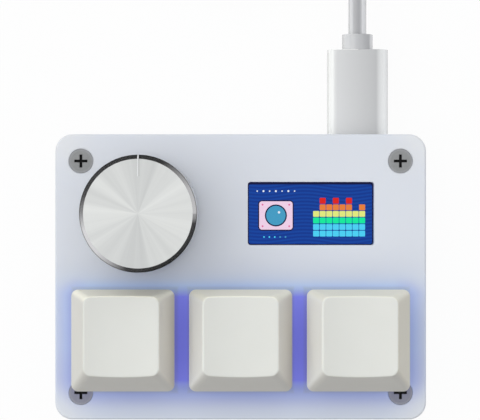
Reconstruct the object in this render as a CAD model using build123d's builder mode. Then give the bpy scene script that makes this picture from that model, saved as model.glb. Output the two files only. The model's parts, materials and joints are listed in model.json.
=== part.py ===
"""Macro keypad: three mechanical keys, a push-and-turn knob, a small screen and a USB lead.

All sizes are in millimetres. The frame is +X to the right, +Y to the rear where the lead leaves, +Z up.
The origin is the middle of the casing's footprint, on the surface that the rubber feet stand on.
"""

import os
from math import pi, radians, tan

from build123d import *

# ---------------------------------------------------------------- casing
case_width = 65.0
case_depth = 50.0
case_corner_radius = 3.0
top_plate_thickness = 3.0
bottom_plate_thickness = 3.0
lower_frame_height = 4.4
plate_edge_chamfer = 0.25
frame_wall = 2.5
frame_inner_radius = 1.5
board_ledge = 1.5  # how far the lower frame reaches in under the board
board_thickness = 1.6
plate_to_board = 5.0  # top of the plate to top of the board, as key switches need
board_clearance = 0.2
foot_height = 1.5
foot_radius = 4.0
foot_spacing_x = 42.0
foot_spacing_y = 27.0
foot_edge_fillet = 0.4

# ---------------------------------------------------------------- corner screws and pillars
screw_inset = 4.5  # from the casing's sides
screw_gap = 0.05  # between a screw's head and the flange of the switch behind it
screw_radius = 1.0
screw_clearance = 0.1
screw_tip_gap = 1.0  # left in a pillar between the upper and the lower screw
screw_head_radius = 2.1
screw_head_land = 0.15  # the head's straight rim above its cone
screw_head_angle = 90  # degrees
screw_seat_clearance = 0.08  # round a sunk head
recess_length = 2.3
recess_width = 0.5
recess_depth = 0.65
recess_taper = 12  # degrees
pillar_radius = 1.75
thread_clearance = 0.02
pillar_clearance = 0.1
pillar_boss_wall = 1.6

# ---------------------------------------------------------------- keys
key_pitch = 20.32
key_row_y = -10.8
rear_row_inset = 13.9  # from the casing's rear side to the middle of the knob and of the screen
key_names = ("left", "middle", "right")
key_travel = 4.0
cap_width = 17.8
cap_depth = 17.6
cap_height = 7.0
cap_skirt_drop = 0.2  # a keycap's skirt starts this far below the top of its switch
cap_top_width = 12.9
cap_back_slope = 1.0  # how far the back face leans in
cap_front_slope = 3.2  # how far the front face leans in
cap_base_radius = 1.2
cap_top_radius = 1.4
cap_dish_depth = 0.8
cap_rim_fillet = 0.35
cap_wall = 1.3
cap_roof = 1.4
cap_post_radius = 2.8
cap_post_gap = 0.2  # between the post and the stem's body
cross_length = 4.0
cross_arm_x = 1.27
cross_arm_y = 1.1
cross_height = 3.7
cross_clearance = 0.02

# ---------------------------------------------------------------- key switches
switch_cutout = 14.0
switch_cutout_clearance = 0.1
switch_wall = 1.2
switch_floor = 1.0
switch_flange_overhang = 0.35  # past the cutout's edge
switch_flange_radius = 1.2
switch_flange_height = 1.0
switch_height = 6.6  # above the plate
switch_cover_setback = 0.35  # from the flange's edge
switch_cover_rim = 1.5  # beside the stem's opening
switch_cover_roof = 1.0
switch_cover_radius = 0.6
switch_cover_wall = 0.7
stem_opening_x = 7.4
stem_opening_y = 6.0
stem_clearance = 0.2
stem_wing_reach_x = 0.6
stem_wing_reach_y = 0.5
stem_stop_gap = 0.05
stem_body_height = 4.6
stem_pole_radius = 1.05
stem_pole_reach = 2.0  # the pole ends this far below the top of the plate
guide_clearance = 0.1
guide_tube_wall = 0.45
guide_tube_drop = 0.5  # top of the guide tube below the top of the plate
guide_bore_clearance = 0.3  # under the pole when the key is down
spring_inner_clearance = 0.25
spring_wire_radius = 0.15
spring_turns = 8
spring_outer_clearance = 0.3
spring_pocket_roof = 1.9  # below the top of the stem's body
centre_post_radius = 1.95
centre_post_length = 3.0
side_peg_radius = 0.85
side_peg_offset = 5.08
side_peg_length = 2.6
hole_clearance = 0.1
pin_a = (-3.81, 2.54)
pin_b = (2.54, 5.08)
pin_width = 1.0
pin_thickness = 0.3
pin_length = 2.9  # below the top of the board
contact_strip = 0.2
contact_rise = 4.5  # above the switch's floor
contact_setback = 0.9  # from the switch's wall
contact_gap = 0.5
light_slot_x = 5.0
light_slot_y = 2.2
led_offset_y = -5.08
led_width = 3.2
led_depth = 2.8
led_flange_width = 5.4
led_flange_height = 0.4
socket_height = 1.8
socket_lobe_x = 3.8
socket_lobe_y = 3.2
socket_barrel_radius = 1.45
socket_bore_radius = 0.75
socket_barrel_drop = 0.1  # barrel's end below the top of the board
socket_floor = 0.18
ledge_clearance = 0.4  # between the lower frame's ledge and what hangs under a switch

# ---------------------------------------------------------------- screen
window_x = 12.32
window_width = 22.15
window_height = 11.1
window_corner_radius = 0.5
display_margin_x = 1.0
display_margin_y = 1.2
display_shift = 2.0  # the bonding ledge makes the module longer on its left
display_glass_thickness = 0.8
display_backlight_thickness = 0.5
display_clearance = 0.3
display_corner_radius = 0.4
ribbon_width = 9.0
ribbon_thickness = 0.15
ribbon_pad_length = 2.6
ribbon_drop_length = 1.6
pad_inset = 1.0

# ---------------------------------------------------------------- encoder
knob_x = -17.23
encoder_cutout_clearance = 0.65
encoder_width = 11.7
encoder_wall = 0.75
encoder_flange_height = 1.4
bracket_thickness = 0.5
bracket_leg_width = 3.0
bracket_leg_length = 1.5  # below the board
bushing_wall = 0.45
bushing_height = 5.0
shaft_clearance = 0.05
thread_pitch = 0.75
thread_depth = 0.25
shaft_radius = 3.0
shaft_flat = 1.5  # centre to the flat
shaft_flat_length = 10.0
shaft_tip_chamfer = 0.4
shaft_collar_reach = 0.35  # past the bushing's bore
shaft_collar_height = 0.45
shaft_collar_gap = 0.05
shaft_neck_width = 3.9
neck_clearance = 0.05
rotor_clearance = 0.3
rotor_height = 0.9
rotor_lift = 0.15
rotor_well_floor = 2.4
rotor_rim_height = 0.5
rotor_rim_clearance = 0.2  # round the shaft's collar
rotor_notch_count = 20
rotor_notch_width = 0.6
rotor_notch_depth = 0.3
detent_clearance = 0.2
detent_thickness = 0.25
detent_bump_radius = 0.3
detent_bump_height = 0.35
detent_gap = 0.05
push_travel = 0.5
plunger_height = 0.75
plunger_well_radius = 3.0
plunger_clearance = 0.15
plunger_well_floor = 0.5
dome_height = 0.65
dome_clearance = 0.3
dome_thickness = 0.12
dome_rim = 0.3
terminal_pitch = 2.5
terminal_reach_front = 1.65  # from the base's wall
terminal_reach_rear = 1.15
terminal_width = 0.8
terminal_thickness = 0.4
terminal_lift = 0.6
terminal_length = 1.5  # below the board
terminal_hole_radius = 0.6

# ---------------------------------------------------------------- knob
knob_radius = 9.9
knob_height = 17.0
knob_gap = 1.2  # above the plate, at rest
knob_bevel = 0.72
knob_bevel_angle = 45  # degrees
knob_foot_chamfer = 0.3
knob_wall = 1.3
knob_roof = 1.4
knob_recess_gap = 0.9  # recess roof above the bushing, at rest
knob_bore_clearance = 0.02
knob_bore_headroom = 0.3
pointer_length = 3.6
pointer_width = 0.3
pointer_depth = 0.1
set_screw_radius = 1.5
set_screw_length = 6.0
set_screw_clearance = 0.03
set_screw_rise = 3.2  # above the recess roof
set_screw_key = 1.5  # across the flats of the hexagon socket
set_screw_key_depth = 1.6

# ---------------------------------------------------------------- board components
processor_x = 2.0
processor_y = 8.0
processor_width = 7.0
processor_height = 1.2
processor_chamfer = 0.2
# each is (x, y, width, depth, height), hung under the board
small_components = (
    (9.0, 12.5, 5.0, 4.0, 1.5),
    (11.5, 4.5, 3.0, 1.8, 1.1),
    (-5.5, 14.0, 3.2, 2.5, 0.8),
    (-5.0, 3.5, 2.0, 1.2, 0.8),
    (-1.5, 14.5, 1.6, 0.8, 0.8),
    (2.0, 14.5, 1.6, 0.8, 0.8),
    (8.0, 8.0, 0.8, 1.6, 0.8),
    (8.0, 5.0, 0.8, 1.6, 0.8),
    (2.0, 2.0, 1.6, 0.8, 0.8),
    (13.5, 10.0, 0.8, 1.6, 0.8),
)

# ---------------------------------------------------------------- USB socket and plug
usb_inset = 11.63  # from the casing's right side
usb_socket_width = 8.94
usb_socket_height = 3.2
usb_socket_depth = 7.3
usb_socket_wall = 0.3
usb_socket_setback = 0.1
usb_socket_back_wall = 0.8
usb_notch_clearance = 0.2
usb_tongue_width = 6.7
usb_tongue_thickness = 0.7
usb_tongue_length = 4.6
plug_fit_width = 0.045
plug_fit_height = 0.1
plug_tip_gap = 0.2  # between the plug's shell and the socket's back wall
plug_shell_wall = 0.3
plug_shell_root = 3.0
plug_gap = 0.1
plug_width = 10.8
plug_height = 5.6
plug_length = 15.2
plug_crown = 0.35  # how far the plug's upper and lower faces bulge
plug_side_radius = 1.75
plug_edge_fillet = 0.15
collar_radius = 2.75
collar_length = 2.75
collar_fillet = 0.15

# ---------------------------------------------------------------- lead
cable_radius = 1.6
coil_columns = 4
coil_layers = 2
coil_inner_radius = 11.2
coil_x = -0.93
coil_y = 76.0
coil_edge_fillet = 0.8
tie_width = 4.0
tie_thickness = 0.5
tie_corner_radius = 1.2
tie_clearance = 0.1
tie_side_clearance = 0.3
tie_head_length = 4.6
tie_head_height = 3.0
tie_head_thickness = 2.6
far_plug_width = 15.7
far_plug_height = 8.0
far_plug_length = 18.0
far_plug_side_radius = 2.6
far_shell_width = 12.0
far_shell_height = 4.5
far_shell_wall = 0.35
far_shell_length = 12.0
far_shell_root = 3.0
far_window_width = 2.5
far_window_spacing = 5.0
far_window_setback = 5.0
far_tongue_thickness = 1.8
far_tongue_inset = 0.8
far_tail_length = 18.3
# the lead's corners, as shares of the way rearwards, sideways and down to the coil
lead_bends = ((0.24, 0.0, 0.0), (0.5, 0.2, 0.45), (0.76, 0.6, 0.92))
tail_bends = ((0.33, 0.15), (0.68, 1.0))  # shares of the way sideways and down to the far plug
cord_arc_share = 0.45  # of the shorter run beside a corner

# ---------------------------------------------------------------- levels and places worked out from these
bottom_plate_z = foot_height
lower_frame_z = bottom_plate_z + bottom_plate_thickness
board_z = lower_frame_z + lower_frame_height
board_top_z = board_z + board_thickness
case_top_z = board_top_z + plate_to_board
top_plate_z = case_top_z - top_plate_thickness
upper_frame_height = top_plate_z - board_z

rear_row_y = case_depth / 2 - rear_row_inset
cavity_width = case_width - 2 * frame_wall
cavity_depth = case_depth - 2 * frame_wall

switch_body_width = switch_cutout - 2 * switch_cutout_clearance
switch_cavity_width = switch_body_width - 2 * switch_wall
switch_flange_width = switch_cutout + 2 * switch_flange_overhang
switch_cover_base = switch_flange_width - 2 * switch_cover_setback
switch_cover_top = stem_opening_x + 2 * switch_cover_rim

# The screws stand as near to the key row as the switches' flanges let them.
screw_spacing_x = case_width - 2 * screw_inset
screw_spacing_y = 2 * (switch_flange_width / 2 + screw_gap + screw_head_radius - key_row_y)
screw_hole_radius = screw_radius + screw_clearance
screw_seat_radius = screw_head_radius + screw_seat_clearance
screw_head_cone = (screw_head_radius - screw_radius) / tan(radians(screw_head_angle / 2))
pillar_bore_radius = screw_radius + thread_clearance
pillar_hole_radius = pillar_radius + pillar_clearance
boss_radius = pillar_hole_radius + pillar_boss_wall
screw_grip = (top_plate_z - lower_frame_z - screw_tip_gap) / 2

key_x = [(i - (len(key_names) - 1) / 2) * key_pitch for i in range(len(key_names))]
key_places = [(x, key_row_y) for x in key_x]
switch_floor_z = board_top_z + switch_floor
switch_flange_z = case_top_z + switch_flange_height
switch_top_z = case_top_z + switch_height
cap_z = switch_top_z - cap_skirt_drop
stem_body_x = stem_opening_x - 2 * stem_clearance
stem_body_y = stem_opening_y - 2 * stem_clearance
stem_top_z = switch_top_z - stem_clearance / 2
stem_bottom_z = stem_top_z - stem_body_height
spring_roof_z = stem_top_z - spring_pocket_roof
cross_top_z = stem_top_z + cross_height
stem_wing_x = stem_opening_x + 2 * stem_wing_reach_x
stem_wing_y = stem_opening_y + 2 * stem_wing_reach_y
guide_bore_radius = stem_pole_radius + guide_clearance
guide_tube_radius = guide_bore_radius + guide_tube_wall
guide_bore_z = case_top_z - stem_pole_reach - key_travel - guide_bore_clearance
spring_radius = guide_tube_radius + spring_inner_clearance + spring_wire_radius
spring_pocket_radius = spring_radius + spring_wire_radius + spring_outer_clearance
fixed_contact_y = switch_cavity_width / 2 - contact_setback
moving_contact_y = fixed_contact_y - contact_gap

window_y = rear_row_y
display_x = window_x - display_shift
display_length = window_width + 2 * (display_margin_x + display_shift)
display_width = window_height + 2 * display_margin_y

rotor_z = board_top_z + rotor_well_floor + rotor_lift
rotor_top_z = rotor_z + rotor_height + rotor_rim_height
encoder_base_top_z = rotor_top_z + detent_gap + detent_bump_height + detent_thickness
bracket_z = encoder_base_top_z + encoder_flange_height
encoder_top_z = bracket_z + bracket_thickness
bushing_top_z = encoder_top_z + bushing_height
encoder_cutout = encoder_width + 2 * (bracket_thickness + encoder_cutout_clearance)
rotor_well_radius = encoder_width / 2 - encoder_wall
rotor_radius = rotor_well_radius - rotor_clearance
bushing_bore_radius = shaft_radius + shaft_clearance
bushing_radius = bushing_bore_radius + bushing_wall
shaft_collar_radius = bushing_bore_radius + shaft_collar_reach
rotor_rim_inner_radius = shaft_collar_radius + rotor_rim_clearance
detent_outer_radius = rotor_well_radius - detent_clearance
detent_inner_radius = rotor_rim_inner_radius  # the spring covers the rotor's rim
plunger_radius = plunger_well_radius - plunger_clearance
dome_radius = plunger_well_radius - dome_clearance
terminal_row_front = encoder_width / 2 + terminal_reach_front
terminal_row_rear = encoder_width / 2 + terminal_reach_rear

knob_y = rear_row_y
knob_z = case_top_z + knob_gap
knob_top_z = knob_z + knob_height
knob_recess_radius = knob_radius - knob_wall
knob_recess_roof_z = bushing_top_z + knob_recess_gap
knob_bore_top_z = knob_top_z - knob_roof
shaft_top_z = knob_bore_top_z - knob_bore_headroom
dome_z = board_top_z + plunger_well_floor
plunger_z = dome_z + dome_height
neck_z = plunger_z + plunger_height

usb_x = case_width / 2 - usb_inset
usb_z = board_z - usb_socket_height / 2
usb_mouth_y = case_depth / 2 - usb_socket_setback
usb_socket_inner_width = usb_socket_width - 2 * usb_socket_wall
usb_socket_inner_height = usb_socket_height - 2 * usb_socket_wall
plug_shell_width = usb_socket_inner_width - 2 * plug_fit_width
plug_shell_height = usb_socket_inner_height - 2 * plug_fit_height
plug_shell_reach = plug_gap + usb_socket_setback + usb_socket_depth - usb_socket_back_wall - plug_tip_gap
plug_y = case_depth / 2 + plug_gap
collar_y = plug_y + plug_length
cable_exit_y = collar_y + collar_length

cable_diameter = 2 * cable_radius
coil_lift = tie_thickness + tie_clearance  # the tie passes under the coil
coil_outer_radius = coil_inner_radius + coil_columns * cable_diameter
coil_height = coil_layers * cable_diameter
coil_top_z = coil_lift + coil_height
outer_turn_radius = coil_outer_radius - cable_radius
tail_y = coil_y + outer_turn_radius
far_plug_z = far_plug_height / 2
far_collar_x = coil_x - far_tail_length
far_plug_x = far_collar_x - collar_length

ON_PLANE = (Align.CENTER, Align.CENTER, Align.MIN)
UNDER_PLANE = (Align.CENTER, Align.CENTER, Align.MAX)

sub_parts = {}


# ================================================================ casing
with BuildPart() as top_plate:
    with BuildSketch(Plane.XY.offset(top_plate_z)):
        RectangleRounded(case_width, case_depth, case_corner_radius)
        with Locations(*key_places):
            Rectangle(switch_cutout, switch_cutout, mode=Mode.SUBTRACT)
        with Locations((knob_x, knob_y)):
            Rectangle(encoder_cutout, encoder_cutout, mode=Mode.SUBTRACT)
        with Locations((window_x, window_y)):
            RectangleRounded(window_width, window_height, window_corner_radius, mode=Mode.SUBTRACT)
    extrude(amount=top_plate_thickness)
    plate_rims = top_plate.faces().filter_by(Axis.Z).sort_by(Axis.Z)
    chamfer([f.outer_wire().edges() for f in (plate_rims[0], plate_rims[-1])], plate_edge_chamfer)
    with Locations(Plane.XY.offset(case_top_z - screw_head_land)):
        with GridLocations(screw_spacing_x, screw_spacing_y, 2, 2):
            Cylinder(screw_seat_radius, screw_head_land, align=ON_PLANE, mode=Mode.SUBTRACT)
            CounterSinkHole(screw_hole_radius, screw_seat_radius, top_plate_thickness, screw_head_angle)
sub_parts["top_plate"] = top_plate

with BuildPart() as bottom_plate:
    with BuildSketch(Plane.XY.offset(bottom_plate_z)):
        RectangleRounded(case_width, case_depth, case_corner_radius)
    extrude(amount=bottom_plate_thickness)
    plate_rims = bottom_plate.faces().filter_by(Axis.Z).sort_by(Axis.Z)
    chamfer([f.outer_wire().edges() for f in (plate_rims[0], plate_rims[-1])], plate_edge_chamfer)
    with Locations(Plane((0, 0, bottom_plate_z + screw_head_land), z_dir=(0, 0, -1))):
        with GridLocations(screw_spacing_x, screw_spacing_y, 2, 2):
            Cylinder(screw_seat_radius, screw_head_land, align=ON_PLANE, mode=Mode.SUBTRACT)
            CounterSinkHole(screw_hole_radius, screw_seat_radius, bottom_plate_thickness, screw_head_angle)
sub_parts["bottom_plate"] = bottom_plate

# The upper frame stands round the board. Its bosses are cut back where the switches and the screen stand.
with BuildPart() as upper_frame:
    with BuildSketch(Plane.XY.offset(board_z)):
        RectangleRounded(case_width, case_depth, case_corner_radius)
        RectangleRounded(cavity_width, cavity_depth, frame_inner_radius, mode=Mode.SUBTRACT)
        with GridLocations(screw_spacing_x, screw_spacing_y, 2, 2):
            Circle(boss_radius)
        RectangleRounded(case_width, case_depth, case_corner_radius, mode=Mode.INTERSECT)
        with Locations(*key_places):
            Rectangle(switch_cutout, switch_cutout, mode=Mode.SUBTRACT)
        with Locations((display_x, window_y)):
            Rectangle(
                display_length + 2 * display_clearance,
                display_width + 2 * display_clearance,
                mode=Mode.SUBTRACT,
            )
        with GridLocations(screw_spacing_x, screw_spacing_y, 2, 2):
            Circle(pillar_hole_radius, mode=Mode.SUBTRACT)
    extrude(amount=upper_frame_height)
sub_parts["upper_frame"] = upper_frame

# The lower frame carries the board on a ledge, and lets the USB socket through its rear wall.
switch_underside_width = 2 * (side_peg_offset + side_peg_radius + ledge_clearance)
usb_notch_width = usb_socket_width + 2 * usb_notch_clearance
usb_notch_depth = usb_socket_depth + usb_socket_setback + 2 * usb_notch_clearance
with BuildPart() as lower_frame:
    with BuildSketch(Plane.XY.offset(lower_frame_z)):
        RectangleRounded(case_width, case_depth, case_corner_radius)
        RectangleRounded(
            cavity_width - 2 * board_ledge,
            cavity_depth - 2 * board_ledge,
            frame_inner_radius,
            mode=Mode.SUBTRACT,
        )
        with Locations(*key_places):
            Rectangle(switch_underside_width, switch_underside_width, mode=Mode.SUBTRACT)
        with GridLocations(screw_spacing_x, screw_spacing_y, 2, 2):
            Circle(boss_radius)
        RectangleRounded(case_width, case_depth, case_corner_radius, mode=Mode.INTERSECT)
        with GridLocations(screw_spacing_x, screw_spacing_y, 2, 2):
            Circle(pillar_hole_radius, mode=Mode.SUBTRACT)
    extrude(amount=lower_frame_height)
    with BuildSketch(Plane.XY.offset(board_z)):
        with Locations((usb_x, case_depth / 2)):
            Rectangle(usb_notch_width, usb_notch_depth, align=(Align.CENTER, Align.MAX))
    extrude(amount=-(usb_socket_height + usb_notch_clearance), mode=Mode.SUBTRACT)
sub_parts["lower_frame"] = lower_frame

with BuildPart() as rubber_feet:
    with BuildSketch():
        with GridLocations(foot_spacing_x, foot_spacing_y, 2, 2):
            Circle(foot_radius)
    extrude(amount=foot_height)
    fillet(rubber_feet.edges().group_by(Axis.Z)[0], foot_edge_fillet)
sub_parts["rubber_feet"] = rubber_feet


def build_screws(face, plate_thickness):
    """Four cross-recess screws whose heads are sunk flush with the plate's face."""
    with BuildPart() as screws:
        with Locations(face):
            with GridLocations(screw_spacing_x, screw_spacing_y, 2, 2):
                Cylinder(screw_head_radius, screw_head_land, align=UNDER_PLANE)
        with Locations(face.offset(-screw_head_land)):
            with GridLocations(screw_spacing_x, screw_spacing_y, 2, 2):
                Cone(screw_radius, screw_head_radius, screw_head_cone, align=UNDER_PLANE)
                Cylinder(screw_radius, plate_thickness + screw_grip - screw_head_land, align=UNDER_PLANE)
        with BuildSketch(face):
            with GridLocations(screw_spacing_x, screw_spacing_y, 2, 2):
                Rectangle(recess_length, recess_width)
                Rectangle(recess_width, recess_length)
        extrude(amount=-recess_depth, taper=recess_taper, mode=Mode.SUBTRACT)
    return screws


base_face = Plane((0, 0, bottom_plate_z), z_dir=(0, 0, -1))
sub_parts["plate_screws"] = build_screws(Plane.XY.offset(case_top_z), top_plate_thickness)
sub_parts["base_screws"] = build_screws(base_face, bottom_plate_thickness)

with BuildPart() as pillars:
    with BuildSketch(Plane.XY.offset(lower_frame_z)):
        with GridLocations(screw_spacing_x, screw_spacing_y, 2, 2):
            Circle(pillar_radius)
            Circle(pillar_bore_radius, mode=Mode.SUBTRACT)
    extrude(amount=top_plate_z - lower_frame_z)
sub_parts["pillars"] = pillars


# ================================================================ board and what is soldered to it
terminal_places = [(knob_x + i * terminal_pitch, knob_y - terminal_row_front) for i in (-1, 0, 1)]
terminal_places += [(knob_x + i * terminal_pitch, knob_y + terminal_row_rear) for i in (-1, 1)]
leg_x = encoder_width / 2 + bracket_thickness / 2

with BuildPart() as circuit_board:
    with BuildSketch(Plane.XY.offset(board_z)):
        Rectangle(cavity_width - 2 * board_clearance, cavity_depth - 2 * board_clearance)
        with GridLocations(screw_spacing_x, screw_spacing_y, 2, 2):
            Circle(boss_radius + board_clearance, mode=Mode.SUBTRACT)
        with GridLocations(case_width, case_depth, 2, 2):
            notch_x = case_width - screw_spacing_x + 2 * (boss_radius + board_clearance)
            notch_y = case_depth - screw_spacing_y
            Rectangle(notch_x, notch_y, mode=Mode.SUBTRACT)
        for x, y in key_places:
            with Locations((x, y)):
                Circle(centre_post_radius + hole_clearance, mode=Mode.SUBTRACT)
            with Locations((x - side_peg_offset, y), (x + side_peg_offset, y)):
                Circle(side_peg_radius + hole_clearance, mode=Mode.SUBTRACT)
            with Locations((x + pin_a[0], y + pin_a[1]), (x + pin_b[0], y + pin_b[1])):
                Circle(socket_barrel_radius + hole_clearance, mode=Mode.SUBTRACT)
            with Locations((x, y + led_offset_y)):
                Rectangle(led_width + hole_clearance, led_depth + hole_clearance, mode=Mode.SUBTRACT)
        with Locations((knob_x - leg_x, knob_y), (knob_x + leg_x, knob_y)):
            Rectangle(
                bracket_thickness + 2 * hole_clearance,
                bracket_leg_width + 2 * hole_clearance,
                mode=Mode.SUBTRACT,
            )
        with Locations(*terminal_places):
            Circle(terminal_hole_radius, mode=Mode.SUBTRACT)
    extrude(amount=board_thickness)
sub_parts["circuit_board"] = circuit_board

with BuildPart() as processor_chip:
    with BuildSketch(Plane.XY.offset(board_z)):
        with Locations((processor_x, processor_y)):
            Rectangle(processor_width, processor_width)
    extrude(amount=-processor_height)
    chamfer(processor_chip.edges().group_by(Axis.Z)[0], processor_chamfer)
sub_parts["processor_chip"] = processor_chip

with BuildPart() as board_components:
    for x, y, width, depth, height in small_components:
        with BuildSketch(Plane.XY.offset(board_z)):
            with Locations((x, y)):
                Rectangle(width, depth)
        extrude(amount=-height)
sub_parts["board_components"] = board_components

with BuildPart() as key_leds:
    with BuildSketch(Plane.XY.offset(board_top_z)):
        with Locations(*[(x, y + led_offset_y) for x, y in key_places]):
            Rectangle(led_width, led_depth)
    extrude(amount=-board_thickness)
    with BuildSketch(Plane.XY.offset(board_z)):
        with Locations(*[(x, y + led_offset_y) for x, y in key_places]):
            Rectangle(led_flange_width, led_depth)
    extrude(amount=-led_flange_height)
sub_parts["key_leds"] = key_leds

with BuildPart() as switch_sockets:
    for x, y in key_places:
        lobes = [(x + pin_a[0], y + pin_a[1]), (x + pin_b[0], y + pin_b[1])]
        with BuildSketch(Plane.XY.offset(board_z)):
            with Locations(*lobes):
                Rectangle(socket_lobe_x, socket_lobe_y)
            with Locations((x + (pin_a[0] + pin_b[0]) / 2, y + (pin_a[1] + pin_b[1]) / 2)):
                Rectangle(pin_b[0] - pin_a[0], socket_lobe_y - (pin_b[1] - pin_a[1]))
        extrude(amount=-socket_height)
        with BuildSketch(Plane.XY.offset(board_z)):
            with Locations(*lobes):
                Circle(socket_barrel_radius)
        extrude(amount=board_thickness - socket_barrel_drop)
        with BuildSketch(Plane.XY.offset(board_top_z)):
            with Locations(*lobes):
                Circle(socket_bore_radius)
        extrude(amount=-(board_thickness + socket_height - socket_floor), mode=Mode.SUBTRACT)
sub_parts["switch_sockets"] = switch_sockets


# ================================================================ USB socket
def slot_face(y, width, height):
    """A sketch of a USB-C outline, width by height, on the plane of that y, looking to the rear."""
    with BuildSketch(Plane((usb_x, y, usb_z), x_dir=(-1, 0, 0), z_dir=(0, 1, 0))) as outline:
        SlotOverall(width, height)
    return outline.sketch


with BuildPart() as usb_socket_shell:
    extrude(slot_face(usb_mouth_y, usb_socket_width, usb_socket_height), amount=-usb_socket_depth)
    extrude(
        slot_face(usb_mouth_y, usb_socket_inner_width, usb_socket_inner_height),
        amount=-(usb_socket_depth - usb_socket_back_wall / 2),
        mode=Mode.SUBTRACT,
    )
sub_parts["usb_socket_shell"] = usb_socket_shell

socket_back_y = usb_mouth_y - usb_socket_depth + usb_socket_back_wall / 2
with BuildPart() as usb_socket_tongue:
    extrude(
        slot_face(socket_back_y, usb_socket_inner_width, usb_socket_inner_height),
        amount=usb_socket_back_wall / 2,
    )
    with BuildSketch(Plane((usb_x, socket_back_y, usb_z), x_dir=(-1, 0, 0), z_dir=(0, 1, 0))):
        Rectangle(usb_tongue_width, usb_tongue_thickness)
    extrude(amount=usb_tongue_length)
sub_parts["usb_socket_tongue"] = usb_socket_tongue


# ================================================================ screen, held between plate and board
glass_z = top_plate_z - display_glass_thickness
backlight_z = glass_z - display_backlight_thickness

with BuildPart() as display_glass:
    with BuildSketch(Plane.XY.offset(glass_z)):
        with Locations((display_x, window_y)):
            RectangleRounded(display_length, display_width, display_corner_radius)
    extrude(amount=display_glass_thickness)
sub_parts["display_glass"] = display_glass

with BuildPart() as display_backlight:
    with BuildSketch(Plane.XY.offset(backlight_z)):
        with Locations((display_x, window_y)):
            RectangleRounded(display_length, display_width, display_corner_radius)
    extrude(amount=display_backlight_thickness)
sub_parts["display_backlight"] = display_backlight

with BuildPart() as display_pad:
    with BuildSketch(Plane.XY.offset(board_top_z)):
        with Locations((display_x, window_y)):
            Rectangle(display_length - 2 * pad_inset, display_width - 2 * pad_inset)
    extrude(amount=backlight_z - board_top_z)
sub_parts["display_pad"] = display_pad

# The ribbon leaves the glass at its left end, steps down and lies on the board.
ribbon_start_x = display_x - display_length / 2
ribbon_high_z = backlight_z + display_backlight_thickness / 2
ribbon_low_z = board_top_z + ribbon_thickness / 2
with BuildPart() as display_ribbon:
    with BuildSketch(Plane((0, window_y, 0), x_dir=(1, 0, 0), z_dir=(0, -1, 0))):
        with BuildLine():
            Polyline(
                (ribbon_start_x, ribbon_high_z),
                (ribbon_start_x - ribbon_drop_length / 2, ribbon_high_z),
                (ribbon_start_x - ribbon_drop_length, ribbon_low_z),
                (ribbon_start_x - ribbon_drop_length - ribbon_pad_length, ribbon_low_z),
            )
        trace(line_width=ribbon_thickness)
    extrude(amount=ribbon_width / 2, both=True)
    trim_plane = Plane((ribbon_start_x, 0, 0), z_dir=(1, 0, 0))
    split(bisect_by=trim_plane, keep=Keep.BOTTOM)
sub_parts["display_ribbon"] = display_ribbon


# ================================================================ keys
cap_roof_fraction = (cap_height - cap_roof - cap_dish_depth) / cap_height
cap_roof_z = cap_z + cap_roof_fraction * cap_height
cap_dish_radius = cap_top_width**2 / (8 * cap_dish_depth) + cap_dish_depth / 2
cap_post_z = stem_top_z + cap_post_gap
cross_recess_z = cross_top_z + stem_clearance


def cap_section(x, fraction, inset):
    """The plane, width, depth and corner radius of the keycap's outline, made smaller by inset."""
    width = cap_width - fraction * (cap_width - cap_top_width) - 2 * inset
    depth = cap_depth - fraction * (cap_back_slope + cap_front_slope) - 2 * inset
    y = key_row_y + fraction * (cap_front_slope - cap_back_slope) / 2
    radius = cap_base_radius + fraction * (cap_top_radius - cap_base_radius)
    return Plane((x, y, cap_z + fraction * cap_height)), (width, depth, radius)


def build_keycap(x):
    """A tapered cap with a dish across its top, a hollow under it and a post that grips the stem."""
    with BuildPart() as keycap:
        for fraction in (0, 1):
            level, outline = cap_section(x, fraction, 0)
            with BuildSketch(level):
                RectangleRounded(*outline)
        loft()
        with BuildSketch(Plane((x, key_row_y, 0), x_dir=(1, 0, 0), z_dir=(0, -1, 0))):
            with Locations((0, cap_z + cap_height - cap_dish_depth + cap_dish_radius)):
                Circle(cap_dish_radius)
        extrude(amount=cap_depth, both=True, mode=Mode.SUBTRACT)
        fillet(keycap.faces().sort_by(Axis.Z)[-1].edges(), cap_rim_fillet)
        for fraction in (0, cap_roof_fraction):
            level, outline = cap_section(x, fraction, cap_wall)
            with BuildSketch(level):
                RectangleRounded(*outline)
        loft(mode=Mode.SUBTRACT)
        post_bottom = Plane((x, key_row_y, cap_post_z))
        with BuildSketch(post_bottom):
            Circle(cap_post_radius)
        extrude(amount=cap_roof_z - cap_post_z + cap_roof / 2)
        with BuildSketch(post_bottom):
            Rectangle(cross_length + 2 * cross_clearance, cross_arm_y + 2 * cross_clearance)
            Rectangle(cross_arm_x + 2 * cross_clearance, cross_length + 2 * cross_clearance)
        extrude(amount=cross_recess_z - cap_post_z, mode=Mode.SUBTRACT)
    return keycap


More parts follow.
